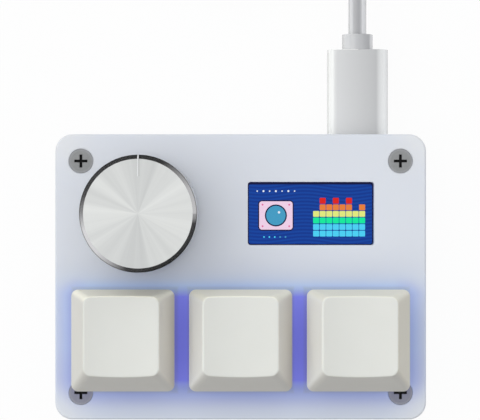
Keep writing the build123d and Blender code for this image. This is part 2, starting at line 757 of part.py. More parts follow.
def build_stem(x):
    """The slider: a cross for the cap, a body in the cover's opening, wings under it and a guide pole."""
    wing_top_z = switch_top_z - switch_cover_roof - stem_stop_gap
    with BuildPart() as stem:
        with BuildSketch(Plane((x, key_row_y, stem_bottom_z))):
            Rectangle(stem_body_x, stem_body_y)
        extrude(amount=stem_body_height)
        with BuildSketch(Plane((x, key_row_y, stem_bottom_z))):
            Rectangle(stem_wing_x, stem_wing_y)
        extrude(amount=wing_top_z - stem_bottom_z)
        with BuildSketch(Plane((x, key_row_y, stem_top_z))):
            Rectangle(cross_length, cross_arm_y)
            Rectangle(cross_arm_x, cross_length)
        extrude(amount=cross_height)
        with BuildSketch(Plane((x, key_row_y, spring_roof_z))):
            Circle(spring_pocket_radius)
        extrude(amount=stem_bottom_z - spring_roof_z, mode=Mode.SUBTRACT)
        with BuildSketch(Plane((x, key_row_y, case_top_z - stem_pole_reach))):
            Circle(stem_pole_radius)
        extrude(amount=spring_roof_z - case_top_z + stem_pole_reach)
    return stem


def build_switch_base(x):
    """The lower housing: a box with a flange on the plate, a guide tube and pegs into the board."""
    centre = Plane((x, key_row_y, board_top_z))
    with BuildPart() as base:
        with BuildSketch(centre):
            Rectangle(switch_body_width, switch_body_width)
        extrude(amount=switch_flange_z - board_top_z)
        with BuildSketch(Plane((x, key_row_y, case_top_z))):
            RectangleRounded(switch_flange_width, switch_flange_width, switch_flange_radius)
        extrude(amount=switch_flange_height)
        with BuildSketch(Plane((x, key_row_y, switch_floor_z))):
            Rectangle(switch_cavity_width, switch_cavity_width)
        extrude(amount=switch_flange_z - switch_floor_z, mode=Mode.SUBTRACT)
        with BuildSketch(Plane((x, key_row_y, switch_floor_z))):
            Circle(guide_tube_radius)
        extrude(amount=case_top_z - guide_tube_drop - switch_floor_z)
        with BuildSketch(centre):
            Circle(centre_post_radius)
        extrude(amount=-centre_post_length)
        with BuildSketch(centre):
            with Locations((-side_peg_offset, 0), (side_peg_offset, 0)):
                Circle(side_peg_radius)
        extrude(amount=-side_peg_length)
        with BuildSketch(Plane((x, key_row_y, guide_bore_z))):
            Circle(guide_bore_radius)
        extrude(amount=case_top_z - guide_bore_z, mode=Mode.SUBTRACT)
        with BuildSketch(centre):
            with Locations((0, led_offset_y)):
                Rectangle(light_slot_x, light_slot_y)
            with Locations(pin_a, pin_b):
                Rectangle(pin_width, pin_thickness)
        extrude(amount=switch_floor, mode=Mode.SUBTRACT)
    return base


switch_cover_height = switch_height - switch_flange_height


def cover_width(height):
    """The cover's outer width at that height above the flange."""
    return switch_cover_base - (switch_cover_base - switch_cover_top) * height / switch_cover_height


def build_switch_cover(x):
    """The upper housing: a hollow tapered cover with an opening for the stem."""
    hollow_height = switch_cover_height - switch_cover_roof
    with BuildPart() as cover:
        for height in (0, switch_cover_height):
            width = cover_width(height)
            with BuildSketch(Plane((x, key_row_y, switch_flange_z + height))):
                RectangleRounded(width, width, switch_cover_radius)
        loft()
        for height in (0, hollow_height):
            width = cover_width(height) - 2 * switch_cover_wall
            with BuildSketch(Plane((x, key_row_y, switch_flange_z + height))):
                RectangleRounded(width, width, switch_cover_radius)
        loft(mode=Mode.SUBTRACT)
        with BuildSketch(Plane((x, key_row_y, switch_top_z))):
            Rectangle(stem_opening_x, stem_opening_y)
        extrude(amount=-2 * switch_cover_roof, mode=Mode.SUBTRACT)
    return cover


def build_switch_spring(x):
    """The return spring, on the floor round the guide tube and up in the stem's pocket."""
    spring_height = spring_roof_z - switch_floor_z - 2 * spring_wire_radius
    with BuildPart() as spring:
        with BuildLine():
            wire = Helix(
                spring_height / spring_turns,
                spring_height,
                spring_radius,
                center=(x, key_row_y, switch_floor_z + spring_wire_radius),
            )
        with BuildSketch(Plane(origin=wire @ 0, z_dir=wire % 0)):
            Circle(spring_wire_radius)
        sweep(is_frenet=True)
    return spring


def build_switch_contacts(x):
    """The two leaf contacts, each a pin through the board, a foot on the floor and a blade."""
    pin_bottom_z = board_top_z - pin_length
    with BuildPart() as contacts:
        for (pin_x, pin_y), blade_y, blade_start, blade_end in (
            (pin_a, moving_contact_y, -pin_width / 2, -pin_a[0] + pin_width),
            (pin_b, fixed_contact_y, -pin_b[0] - pin_width, pin_width / 2),
        ):
            with BuildSketch(Plane((x + pin_x, key_row_y + pin_y, pin_bottom_z))):
                Rectangle(pin_width, pin_thickness)
            extrude(amount=switch_floor_z - pin_bottom_z + contact_strip)
            with BuildSketch(Plane((x + pin_x, key_row_y, switch_floor_z))):
                with Locations((0, (pin_y + blade_y) / 2)):
                    Rectangle(pin_width, abs(pin_y - blade_y) + contact_strip)
            extrude(amount=contact_strip)
            with BuildSketch(Plane((x + pin_x, key_row_y + blade_y, switch_floor_z))):
                with Locations(((blade_start + blade_end) / 2, 0)):
                    Rectangle(blade_end - blade_start, contact_strip)
            extrude(amount=contact_rise)
    return contacts


for key_name, x in zip(key_names, key_x):
    sub_parts[f"{key_name}_keycap"] = build_keycap(x)
    sub_parts[f"{key_name}_switch_stem"] = build_stem(x)
    sub_parts[f"{key_name}_switch_cover"] = build_switch_cover(x)
    sub_parts[f"{key_name}_switch_base"] = build_switch_base(x)
    sub_parts[f"{key_name}_switch_spring"] = build_switch_spring(x)
    sub_parts[f"{key_name}_switch_contacts"] = build_switch_contacts(x)


# ================================================================ push-and-turn encoder
def encoder_level(z):
    """The level plane at z with its origin on the encoder's axis."""
    return Plane((knob_x, knob_y, z))


with BuildPart() as encoder_base:
    with BuildSketch(encoder_level(board_top_z)):
        Rectangle(encoder_width, encoder_width)
    extrude(amount=encoder_base_top_z - board_top_z)
    with BuildSketch(encoder_level(board_top_z + rotor_well_floor)):
        Circle(rotor_well_radius)
    extrude(amount=encoder_base_top_z - board_top_z - rotor_well_floor, mode=Mode.SUBTRACT)
    with BuildSketch(encoder_level(dome_z)):
        Circle(plunger_well_radius)
    extrude(amount=rotor_well_floor - plunger_well_floor, mode=Mode.SUBTRACT)
sub_parts["encoder_base"] = encoder_base

# The bushing is one casting: a square flange that closes the base, and a threaded collar on it.
thread_turns = int((bushing_height - thread_pitch) / thread_pitch)
with BuildPart() as encoder_bushing:
    with BuildSketch(encoder_level(encoder_base_top_z)):
        Rectangle(encoder_width, encoder_width)
    extrude(amount=encoder_flange_height)
    with BuildSketch(Plane((knob_x, knob_y, 0), x_dir=(1, 0, 0), z_dir=(0, -1, 0))):
        with BuildLine():
            profile = [(0, bracket_z), (bushing_radius, bracket_z)]
            for turn in range(thread_turns):
                groove_z = bushing_top_z - (thread_turns - turn) * thread_pitch
                profile.append((bushing_radius, groove_z))
                profile.append((bushing_radius - thread_depth, groove_z + thread_pitch / 2))
            profile += [(bushing_radius, bushing_top_z), (0, bushing_top_z), (0, bracket_z)]
            Polyline(*profile)
        make_face()
    revolve(axis=Axis((knob_x, knob_y, 0), (0, 0, 1)))
    with BuildSketch(encoder_level(encoder_base_top_z)):
        Circle(bushing_bore_radius)
    extrude(amount=bushing_top_z - encoder_base_top_z, mode=Mode.SUBTRACT)
sub_parts["encoder_bushing"] = encoder_bushing

with BuildPart() as encoder_bracket:
    with BuildSketch(encoder_level(bracket_z)):
        Rectangle(encoder_width + 2 * bracket_thickness, encoder_width)
        Circle(bushing_radius, mode=Mode.SUBTRACT)
    extrude(amount=bracket_thickness)
    with BuildSketch(encoder_level(bracket_z)):
        with Locations((-leg_x, 0), (leg_x, 0)):
            Rectangle(bracket_thickness, bracket_leg_width)
    extrude(amount=-(bracket_z - board_z + bracket_leg_length))
    with BuildSketch(encoder_level(bracket_z)):
        with Locations((-leg_x, 0), (leg_x, 0)):
            Rectangle(bracket_thickness, encoder_width)
    extrude(amount=-encoder_flange_height)
sub_parts["encoder_bracket"] = encoder_bracket

# The rotor is turned by the shaft's square neck, which slides down through it when the knob is pressed.
rotor_hole_width = shaft_neck_width + 2 * neck_clearance
with BuildPart() as encoder_rotor:
    with BuildSketch(encoder_level(rotor_z)):
        Circle(rotor_radius)
        Rectangle(rotor_hole_width, rotor_hole_width, mode=Mode.SUBTRACT)
    extrude(amount=rotor_height)
    with BuildSketch(encoder_level(rotor_z + rotor_height)):
        Circle(rotor_radius)
        Circle(rotor_rim_inner_radius, mode=Mode.SUBTRACT)
    extrude(amount=rotor_rim_height)
    with BuildSketch(encoder_level(rotor_top_z)):
        with PolarLocations((rotor_radius + rotor_rim_inner_radius) / 2, rotor_notch_count):
            Rectangle(rotor_radius, rotor_notch_width)
    extrude(amount=-rotor_notch_depth, mode=Mode.SUBTRACT)
sub_parts["encoder_rotor"] = encoder_rotor

with BuildPart() as encoder_detent_spring:
    with BuildSketch(encoder_level(encoder_base_top_z)):
        Circle(detent_outer_radius)
        Circle(detent_inner_radius, mode=Mode.SUBTRACT)
    extrude(amount=-detent_thickness)
    with BuildSketch(encoder_level(encoder_base_top_z - detent_thickness)):
        with PolarLocations((detent_outer_radius + detent_inner_radius) / 2, 2):
            Circle(detent_bump_radius)
    extrude(amount=-detent_bump_height)
sub_parts["encoder_detent_spring"] = encoder_detent_spring

neck_square_z = board_top_z + rotor_well_floor + push_travel + shaft_collar_gap
shaft_collar_z = encoder_base_top_z - shaft_collar_gap - shaft_collar_height
with BuildPart() as encoder_shaft:
    with BuildSketch(encoder_level(neck_z)):
        Circle(shaft_neck_width / 2)
    extrude(amount=neck_square_z - neck_z)
    with BuildSketch(encoder_level(neck_square_z)):
        Rectangle(shaft_neck_width, shaft_neck_width)
    extrude(amount=shaft_collar_z - neck_square_z)
    with BuildSketch(encoder_level(shaft_collar_z)):
        Circle(shaft_collar_radius)
    extrude(amount=shaft_collar_height)
    with BuildSketch(encoder_level(shaft_collar_z + shaft_collar_height)):
        Circle(shaft_radius)
    extrude(amount=shaft_top_z - shaft_collar_z - shaft_collar_height)
    chamfer(encoder_shaft.edges().group_by(Axis.Z)[-1], shaft_tip_chamfer)
    with BuildSketch(encoder_level(shaft_top_z)):
        with Locations((0, -shaft_flat)):
            Rectangle(2 * shaft_radius, shaft_radius, align=(Align.CENTER, Align.MAX))
    extrude(amount=-shaft_flat_length, mode=Mode.SUBTRACT)
sub_parts["encoder_shaft"] = encoder_shaft

with BuildPart() as push_plunger:
    with BuildSketch(encoder_level(plunger_z)):
        Circle(plunger_radius)
    extrude(amount=plunger_height)
sub_parts["push_plunger"] = push_plunger

# The click dome stands on its rim and is hollow underneath.
dome_sphere_radius = (dome_radius**2 + dome_height**2) / (2 * dome_height)
with BuildPart() as push_dome:
    with BuildSketch(Plane((knob_x, knob_y, 0), x_dir=(1, 0, 0), z_dir=(0, -1, 0))):
        with BuildLine():
            RadiusArc((dome_radius, dome_z), (0, plunger_z), -dome_sphere_radius)
            Line((0, plunger_z), (0, plunger_z - dome_thickness))
            RadiusArc(
                (0, plunger_z - dome_thickness),
                (dome_radius - dome_rim, dome_z),
                dome_sphere_radius,
            )
            Line((dome_radius - dome_rim, dome_z), (dome_radius, dome_z))
        make_face()
    revolve(axis=Axis((knob_x, knob_y, 0), (0, 0, 1)))
sub_parts["push_dome"] = push_dome

terminal_foot_z = board_top_z + terminal_lift
with BuildPart() as encoder_terminals:
    for x, y in terminal_places:
        side = 1 if y > knob_y else -1
        wall_y = knob_y + side * encoder_width / 2
        end_y = y + side * terminal_thickness / 2
        with BuildSketch(Plane((x, (wall_y + end_y) / 2, terminal_foot_z))):
            Rectangle(terminal_width, abs(end_y - wall_y))
        extrude(amount=terminal_thickness)
        with BuildSketch(Plane((x, y, terminal_foot_z))):
            Rectangle(terminal_width, terminal_thickness)
        extrude(amount=-(terminal_foot_z - board_z + terminal_length))
sub_parts["encoder_terminals"] = encoder_terminals


# ================================================================ knob
knob_bore_radius = shaft_radius + knob_bore_clearance
face_radius = knob_radius - knob_bevel
set_screw_z = knob_recess_roof_z + set_screw_rise
with BuildPart() as knob:
    with BuildSketch(encoder_level(knob_z)):
        Circle(knob_radius)
    extrude(amount=knob_height)
    chamfer(knob.edges().group_by(Axis.Z)[-1], knob_bevel)
    chamfer(knob.edges().group_by(Axis.Z)[0], knob_foot_chamfer)
    with BuildSketch(encoder_level(knob_z)):
        Circle(knob_recess_radius)
    extrude(amount=knob_recess_roof_z - knob_z, mode=Mode.SUBTRACT)
    with BuildSketch(encoder_level(knob_recess_roof_z)):
        Circle(knob_bore_radius)
        with Locations((0, -shaft_flat - knob_bore_clearance)):
            Rectangle(
                2 * knob_bore_radius,
                knob_bore_radius,
                align=(Align.CENTER, Align.MAX),
                mode=Mode.SUBTRACT,
            )
    extrude(amount=knob_bore_top_z - knob_recess_roof_z, mode=Mode.SUBTRACT)
    with BuildSketch(Plane((knob_x, knob_y, set_screw_z), x_dir=(1, 0, 0), z_dir=(0, -1, 0))):
        Circle(set_screw_radius + set_screw_clearance)
    extrude(amount=knob_radius, mode=Mode.SUBTRACT)
    with BuildSketch(Plane((knob_x, 0, 0), x_dir=(0, 1, 0), z_dir=(1, 0, 0))):
        with BuildLine():
            outside_y = knob_y + knob_radius + pointer_depth
            notch_z = knob_top_z - pointer_depth
            corner_y = knob_y + face_radius - pointer_depth * tan(radians(knob_bevel_angle / 2))
            Polyline(
                (knob_y + knob_radius - pointer_length, knob_top_z),
                (knob_y + knob_radius - pointer_length, notch_z),
                (corner_y, notch_z),
                (outside_y, notch_z - (outside_y - corner_y)),
                (outside_y, knob_top_z),
                (knob_y + knob_radius - pointer_length, knob_top_z),
            )
        make_face()
    extrude(amount=pointer_width / 2, both=True, mode=Mode.SUBTRACT)
sub_parts["knob"] = knob

with BuildPart() as knob_set_screw:
    screw_face = Plane((knob_x, knob_y - shaft_flat, set_screw_z), x_dir=(1, 0, 0), z_dir=(0, -1, 0))
    with BuildSketch(screw_face):
        Circle(set_screw_radius)
    extrude(amount=set_screw_length)
    with BuildSketch(screw_face.offset(set_screw_length)):
        RegularPolygon(set_screw_key / 2, 6, major_radius=False)
    extrude(amount=-set_screw_key_depth, mode=Mode.SUBTRACT)
sub_parts["knob_set_screw"] = knob_set_screw


# ================================================================ USB-C plug on the lead
with BuildPart() as usb_plug_shell:
    extrude(slot_face(plug_y + plug_shell_root, plug_shell_width, plug_shell_height),
            amount=-(plug_shell_root + plug_shell_reach))
    extrude(
        slot_face(
            plug_y + plug_shell_root,
            plug_shell_width - 2 * plug_shell_wall,
            plug_shell_height - 2 * plug_shell_wall,
        ),
        amount=-(plug_shell_root + plug_shell_reach),
        mode=Mode.SUBTRACT,
    )
sub_parts["usb_plug_shell"] = usb_plug_shell

with BuildPart() as usb_plug_body:
    with BuildSketch(Plane((usb_x, plug_y, usb_z), x_dir=(-1, 0, 0), z_dir=(0, 1, 0))):
        with BuildLine():
            edge_x, edge_z = plug_width / 2, plug_height / 2 - plug_crown
            ThreePointArc((-edge_x, edge_z), (0, plug_height / 2), (edge_x, edge_z))
            Line((edge_x, edge_z), (edge_x, -edge_z))
            ThreePointArc((edge_x, -edge_z), (0, -plug_height / 2), (-edge_x, -edge_z))
            Line((-edge_x, -edge_z), (-edge_x, edge_z))
        make_face()
        fillet(vertices(), plug_side_radius)
    extrude(amount=plug_length)
    fillet(usb_plug_body.faces().sort_by(Axis.Y)[-1].edges(), plug_edge_fillet)
    fillet(usb_plug_body.faces().sort_by(Axis.Y)[0].edges(), plug_edge_fillet)
    extrude(slot_face(plug_y, plug_shell_width, plug_shell_height),
            amount=plug_shell_root, mode=Mode.SUBTRACT)
sub_parts["usb_plug_body"] = usb_plug_body

with BuildPart() as usb_plug_collar:
    with BuildSketch(Plane((usb_x, collar_y, usb_z), z_dir=(0, 1, 0))):
        Circle(collar_radius)
    extrude(amount=collar_length)
    fillet(usb_plug_collar.edges().group_by(Axis.Y)[-1], collar_fillet)
sub_parts["usb_plug_collar"] = usb_plug_collar


# ================================================================ lead, coil, tie and far plug
def cord_radii(points):
    """The largest tangent arc that the runs beside each inner point leave room for."""
    places = [Vector(p) for p in points]
    radii = []
    for before, here, after in zip(places, places[1:], places[2:]):
        turn = (here - before).get_angle(after - here)
        shorter = min((here - before).length, (after - here).length)
        radii.append(cord_arc_share * shorter / tan(radians(turn / 2)))
    return radii


def build_cord(points):
    """A round tube along straight runs joined by tangent arcs."""
    radii = cord_radii(points)
    print("cord radii (mm):", [round(r, 1) for r in radii])
    with BuildPart() as cord:
        with BuildLine():
            path = FilletPolyline(*points, radius=radii)
        with BuildSketch(Plane(origin=path @ 0, z_dir=path % 0)):
            Circle(cable_radius)
        sweep()
    expected_volume = pi * cable_radius**2 * path.length
    print("cord volume over section times length:", round(cord.part.volume / expected_volume, 4))
    return cord


lead_start = (usb_x, cable_exit_y, usb_z)
coil_entry = (coil_x + outer_turn_radius, coil_y, coil_lift + cable_radius)
lead_middle = [
    (
        usb_x + sideways * (coil_entry[0] - usb_x),
        cable_exit_y + rearwards * (coil_y - cable_exit_y),
        usb_z + down * (coil_entry[2] - usb_z),
    )
    for rearwards, sideways, down in lead_bends
]
sub_parts["usb_cable"] = build_cord([lead_start, *lead_middle, coil_entry])

with BuildPart() as cable_coil:
    with BuildSketch(Plane((coil_x, coil_y, coil_lift))):
        Circle(coil_outer_radius)
        Circle(coil_inner_radius, mode=Mode.SUBTRACT)
    extrude(amount=coil_height)
    fillet(cable_coil.edges().filter_by(GeomType.CIRCLE), coil_edge_fillet)
sub_parts["cable_coil"] = cable_coil

tail_start = (coil_x, tail_y, coil_top_z - cable_radius)
tail_middle = [
    (coil_x - sideways * far_tail_length, tail_y, tail_start[2] + down * (far_plug_z - tail_start[2]))
    for sideways, down in tail_bends
]
sub_parts["usb_cable_tail"] = build_cord([tail_start, *tail_middle, (far_collar_x, tail_y, far_plug_z)])

# The tie is a closed strap round the coil's section, on the side away from where the lead comes in.
tie_width_across = coil_outer_radius - coil_inner_radius + 2 * tie_side_clearance
tie_middle_x = coil_x - (coil_outer_radius + coil_inner_radius) / 2
tie_middle_z = coil_lift + coil_height / 2
with BuildPart() as cable_tie:
    with BuildSketch(Plane((tie_middle_x, coil_y, tie_middle_z), x_dir=(1, 0, 0), z_dir=(0, -1, 0))):
        RectangleRounded(
            tie_width_across + 2 * tie_thickness,
            coil_height + 2 * (tie_clearance + tie_thickness),
            tie_corner_radius,
        )
        RectangleRounded(
            tie_width_across,
            coil_height + 2 * tie_clearance,
            tie_corner_radius - tie_thickness,
            mode=Mode.SUBTRACT,
        )
    extrude(amount=tie_width / 2, both=True)
    tie_outside_x = tie_middle_x - tie_width_across / 2 - tie_thickness
    with BuildSketch(Plane((tie_outside_x, coil_y, tie_middle_z), x_dir=(0, -1, 0), z_dir=(-1, 0, 0))):
        Rectangle(tie_head_length, tie_head_height)
    extrude(amount=tie_head_thickness)
sub_parts["cable_tie"] = cable_tie

far_end_face = Plane((far_plug_x, tail_y, far_plug_z), x_dir=(0, 1, 0), z_dir=(-1, 0, 0))
with BuildPart() as far_plug_collar:
    with BuildSketch(far_end_face):
        Circle(collar_radius)
    extrude(amount=-collar_length)
    fillet(far_plug_collar.edges().group_by(Axis.X)[-1], collar_fillet)
sub_parts["far_plug_collar"] = far_plug_collar

far_shell_face = far_end_face.offset(far_plug_length - far_shell_root)
with BuildPart() as far_plug_body:
    with BuildSketch(far_end_face):
        RectangleRounded(far_plug_width, far_plug_height, far_plug_side_radius)
    extrude(amount=far_plug_length)
    fillet(far_plug_body.faces().sort_by(Axis.X)[-1].edges(), plug_edge_fillet)
    fillet(far_plug_body.faces().sort_by(Axis.X)[0].edges(), plug_edge_fillet)
    with BuildSketch(far_shell_face):
        Rectangle(far_shell_width, far_shell_height)
    extrude(amount=far_shell_root, mode=Mode.SUBTRACT)
sub_parts["far_plug_body"] = far_plug_body

with BuildPart() as far_plug_shell:
    with BuildSketch(far_shell_face):
        Rectangle(far_shell_width, far_shell_height)
        Rectangle(
            far_shell_width - 2 * far_shell_wall, far_shell_height - 2 * far_shell_wall, mode=Mode.SUBTRACT
        )
    extrude(amount=far_shell_root + far_shell_length)
    with BuildSketch(far_end_face.offset(far_plug_length + far_window_setback)):
        with Locations((-far_window_spacing / 2, 0), (far_window_spacing / 2, 0)):
            Rectangle(far_window_width, 2 * far_shell_height)
    extrude(amount=far_window_width, mode=Mode.SUBTRACT)
sub_parts["far_plug_shell"] = far_plug_shell

with BuildPart() as far_plug_tongue:
    with BuildSketch(far_shell_face):
        with Locations((0, -(far_shell_height / 2 - far_shell_wall))):
            Rectangle(
                far_shell_width - 2 * far_shell_wall,
                far_tongue_thickness,
                align=(Align.CENTER, Align.MIN),
            )
    extrude(amount=far_shell_root + far_shell_length - far_tongue_inset)
sub_parts["far_plug_tongue"] = far_plug_tongue


# ================================================================ write one STEP file for each sub-part
os.makedirs("parts", exist_ok=True)
for name, sub_part in sub_parts.items():
    sub_part.part.label = name
    export_step(sub_part.part, f"parts/{name}.step")
print(len(sub_parts), "sub-parts")
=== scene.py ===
"""The looks of the macro keypad: finishes, springs, lead, screen picture and a plain studio."""

import json
import math

import bmesh
import bpy
from mathutils import Matrix, Vector


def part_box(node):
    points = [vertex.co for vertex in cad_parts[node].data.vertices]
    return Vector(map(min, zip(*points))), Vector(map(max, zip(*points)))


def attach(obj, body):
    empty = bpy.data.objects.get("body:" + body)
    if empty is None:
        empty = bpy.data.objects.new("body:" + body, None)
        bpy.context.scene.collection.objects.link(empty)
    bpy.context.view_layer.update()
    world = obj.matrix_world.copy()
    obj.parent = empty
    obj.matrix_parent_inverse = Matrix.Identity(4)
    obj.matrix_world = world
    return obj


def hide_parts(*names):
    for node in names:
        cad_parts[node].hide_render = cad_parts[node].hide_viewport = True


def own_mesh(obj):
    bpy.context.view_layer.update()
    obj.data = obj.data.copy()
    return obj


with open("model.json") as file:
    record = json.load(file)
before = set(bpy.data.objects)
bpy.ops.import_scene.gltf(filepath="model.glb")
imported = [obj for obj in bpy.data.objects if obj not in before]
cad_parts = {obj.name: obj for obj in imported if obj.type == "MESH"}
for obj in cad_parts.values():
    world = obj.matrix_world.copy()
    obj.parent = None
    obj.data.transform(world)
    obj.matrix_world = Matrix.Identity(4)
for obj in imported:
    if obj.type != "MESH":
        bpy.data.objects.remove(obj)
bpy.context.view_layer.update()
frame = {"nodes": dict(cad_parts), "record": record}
nodes = frame["nodes"]

MM = 0.001
KEYS = ("left", "middle", "right")


def middle(node):
    """The middle of a CAD node's box."""
    low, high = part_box(node)
    return (low + high) / 2


# ---------------------------------------------------------------- places read from the frame
plate_low, plate_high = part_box("top_plate")
knob_low, knob_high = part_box("knob")
knob_axis = middle("knob")
knob_radius = (knob_high.x - knob_low.x) / 2
key_row_y = middle("middle_switch_base").y
key_pitch = middle("right_switch_base").x - middle("middle_switch_base").x
keycap_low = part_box("left_keycap")[0]
keycap_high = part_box("right_keycap")[1]
lead_x = middle("usb_plug_body").x
screw_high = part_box("plate_screws")[1]
screw_faces = (screw_high.z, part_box("base_screws")[0].z)

# sizes and places that a node's box doesn't give, as in part.py
knob_bevel = 0.72 * MM
screw_radius = 2.1 * MM
screw_x, screw_y = screw_high.x - screw_radius, screw_high.y - screw_radius
window_middle = Vector((12.32 * MM, 11.1 * MM, plate_low.z))
window_size = (22.15, 11.1)  # in millimetres

# ---------------------------------------------------------------- camera
camera_distance = 410 * MM  # above the top plate
millimetres_across = 84.13  # seen at the level of the top plate
camera_centre = (-0.116 * MM, 11.715 * MM)

camera_data = bpy.data.cameras.new("camera")
camera_data.sensor_fit = "HORIZONTAL"
camera_data.sensor_width = 36.0
camera_data.lens = camera_data.sensor_width * camera_distance / (millimetres_across * MM)
camera_data.clip_start = 0.01
camera_data.clip_end = 50.0
camera = bpy.data.objects.new("camera", camera_data)
camera.location = (*camera_centre, plate_high.z + camera_distance)
bpy.context.scene.collection.objects.link(camera)
bpy.context.scene.camera = camera
bpy.context.scene.view_settings.view_transform = "Standard"


# ---------------------------------------------------------------- a short way to write node trees
def srgb(*rgb):
    """A colour given as 0 to 255 on the screen, as the linear values that shaders take."""
    linear = [c / 255 / 12.92 if c <= 10 else ((c / 255 + 0.055) / 1.055) ** 2.4 for c in rgb]
    return (*linear, 1.0)


class Tree:
    """A node tree whose inputs may be numbers, colours or the sockets of other nodes."""

    def __init__(self, owner):
        owner.use_nodes = True
        self.tree = owner.node_tree
        self.tree.nodes.clear()

    def node(self, kind, out=0, inputs=None, **settings):
        """A new shader node with its inputs fed, as one of its outputs."""
        made = self.tree.nodes.new("ShaderNode" + kind)
        for key, value in settings.items():
            setattr(made, key, value)
        for key, value in (inputs or {}).items():
            self.feed(made.inputs[key], value)
        return made.outputs[out]

    def feed(self, socket, value):
        if isinstance(value, bpy.types.NodeSocket):
            self.tree.links.new(value, socket)
        else:
            socket.default_value = value

    def math(self, operation, a, b=0.0):
        return self.node("Math", inputs={0: a, 1: b}, operation=operation)

    def vector(self, operation, a, b=(0.0, 0.0, 0.0), out=0):
        return self.node("VectorMath", out, inputs={0: a, 1: b}, operation=operation)

    def here(self):
        """The point on the surface, in the frame's metres at rest."""
        return self.node("TexCoord", "Object")

    def split(self, vector):
        made = self.tree.nodes.new("ShaderNodeSeparateXYZ")
        self.feed(made.inputs[0], vector)
        return made.outputs

    def join(self, x, y, z=0.0):
        return self.node("CombineXYZ", inputs={0: x, 1: y, 2: z})

    def noise(self, scale, detail=2.0, vector=None, roughness=0.5):
        inputs = {"Scale": scale, "Detail": detail, "Roughness": roughness}
        inputs["Vector"] = self.here() if vector is None else vector
        return self.node("TexNoise", "Fac", inputs=inputs)

    def steps(self, value, low, high, smooth=True):
        """0 at low and 1 at high, and held past them; low may be the greater."""
        kind = "SMOOTHSTEP" if smooth else "LINEAR"
        return self.node(
            "MapRange",
            inputs={"Value": value, "From Min": low, "From Max": high},
            interpolation_type=kind,
        )

    def between(self, value, low, high):
        """value, from 0 to 1, stretched to run from low to high."""
        return self.node("MapRange", inputs={"Value": value, "To Min": low, "To Max": high})

    def mix(self, share, a, b, blend="MIX"):
        made = self.tree.nodes.new("ShaderNodeMix")
        made.data_type = "RGBA"
        made.blend_type = blend
        self.feed(made.inputs["Factor"], share)
        self.feed(made.inputs[6], a)
        self.feed(made.inputs[7], b)
        return made.outputs[2]

    def ramp(self, value, *stops):
        """A colour that goes with value, from (place, colour) pairs."""
        made = self.tree.nodes.new("ShaderNodeValToRGB")
        self.feed(made.inputs[0], value)
        elements = made.color_ramp.elements
        while len(elements) < len(stops):
            elements.new(0.5)
        for element, (place, colour) in zip(elements, stops):
            element.position, element.color = place, colour
        return made.outputs[0]

    def bump(self, height, strength, distance):
        inputs = {"Height": height, "Strength": strength, "Distance": distance}
        return self.node("Bump", inputs=inputs)

    def surface(self, shader):
        output = self.tree.nodes.new("ShaderNodeOutputMaterial")
        self.tree.links.new(shader, output.inputs["Surface"])


def material(name):
    """A new material and its empty tree."""
    made = bpy.data.materials.new(name)
    return made, Tree(made)


def principled(tree, **inputs):
    """A Principled surface; underscores in a setting's name stand for spaces."""
    made = tree.tree.nodes.new("ShaderNodeBsdfPrincipled")
    for key, value in inputs.items():
        tree.feed(made.inputs[key.replace("_", " ")], value)
    tree.surface(made.outputs[0])


# ---------------------------------------------------------------- finishes
GLOW_REACH = 3.0 * MM  # how fast the light of the keys fades across the acrylic
GLOW_INSET = 1.5 * MM  # where it starts to fade, inside the keycaps' outline
FADES_BEHIND = 1.5  # how much faster it fades behind the keys than beside them
CAP_SHADE_INSIDE = (8.2 * MM, 8.8 * MM)  # where the painted shade round a keycap's foot comes up, from the keycap's middle
CAP_SHADE_OUTSIDE = (9.6 * MM, 8.95 * MM)  # where it ends
# the tint of the painted shade round the keycaps' feet
CAP_SHADE_TINT = (0.97, 0.95, 0.83, 1.0)
keycap_foot_y = key_row_y - 0.25 * MM


def key_glow(tree):
    """The share of the keys' painted glow: 1 under the keys, and fading away from them across the
    plate.
    """
    x, y, _ = tree.split(tree.here())
    reach_x = (keycap_high.x - keycap_low.x) / 2 - GLOW_INSET
    reach_y = (keycap_high.y - keycap_low.y) / 2 - GLOW_INSET
    past_x = tree.math("MAXIMUM", tree.math("SUBTRACT", tree.math("ABSOLUTE", x), reach_x), 0.0)
    behind = tree.math("SUBTRACT", y, key_row_y + reach_y)
    behind = tree.math("MULTIPLY", behind, FADES_BEHIND)
    before = tree.math("SUBTRACT", key_row_y - reach_y, y)
    past_y = tree.math("MAXIMUM", tree.math("MAXIMUM", behind, before), 0.0)
    distance = tree.vector("LENGTH", tree.join(past_x, past_y), out="Value")
    return tree.math("EXPONENT", tree.math("DIVIDE", distance, -GLOW_REACH))


def cap_foot_shade(tree):
    """1 on the plate in a fine line round the foot of each keycap, for a painted shade where less
    light comes up.
    """
    x, y, _ = tree.split(tree.here())
    nearest_key = tree.math("ROUND", tree.math("DIVIDE", x, key_pitch))
    nearest_key = tree.math("MAXIMUM", tree.math("MINIMUM", nearest_key, 1.0), -1.0)
    from_x = tree.math("SUBTRACT", x, tree.math("MULTIPLY", nearest_key, key_pitch))
    from_y = tree.math("SUBTRACT", y, keycap_foot_y)
    out = tree.math("MAXIMUM", tree.math("ABSOLUTE", from_x), tree.math("ABSOLUTE", from_y))
    return tree.math("MULTIPLY", tree.steps(out, *CAP_SHADE_OUTSIDE), tree.steps(out, *CAP_SHADE_INSIDE))


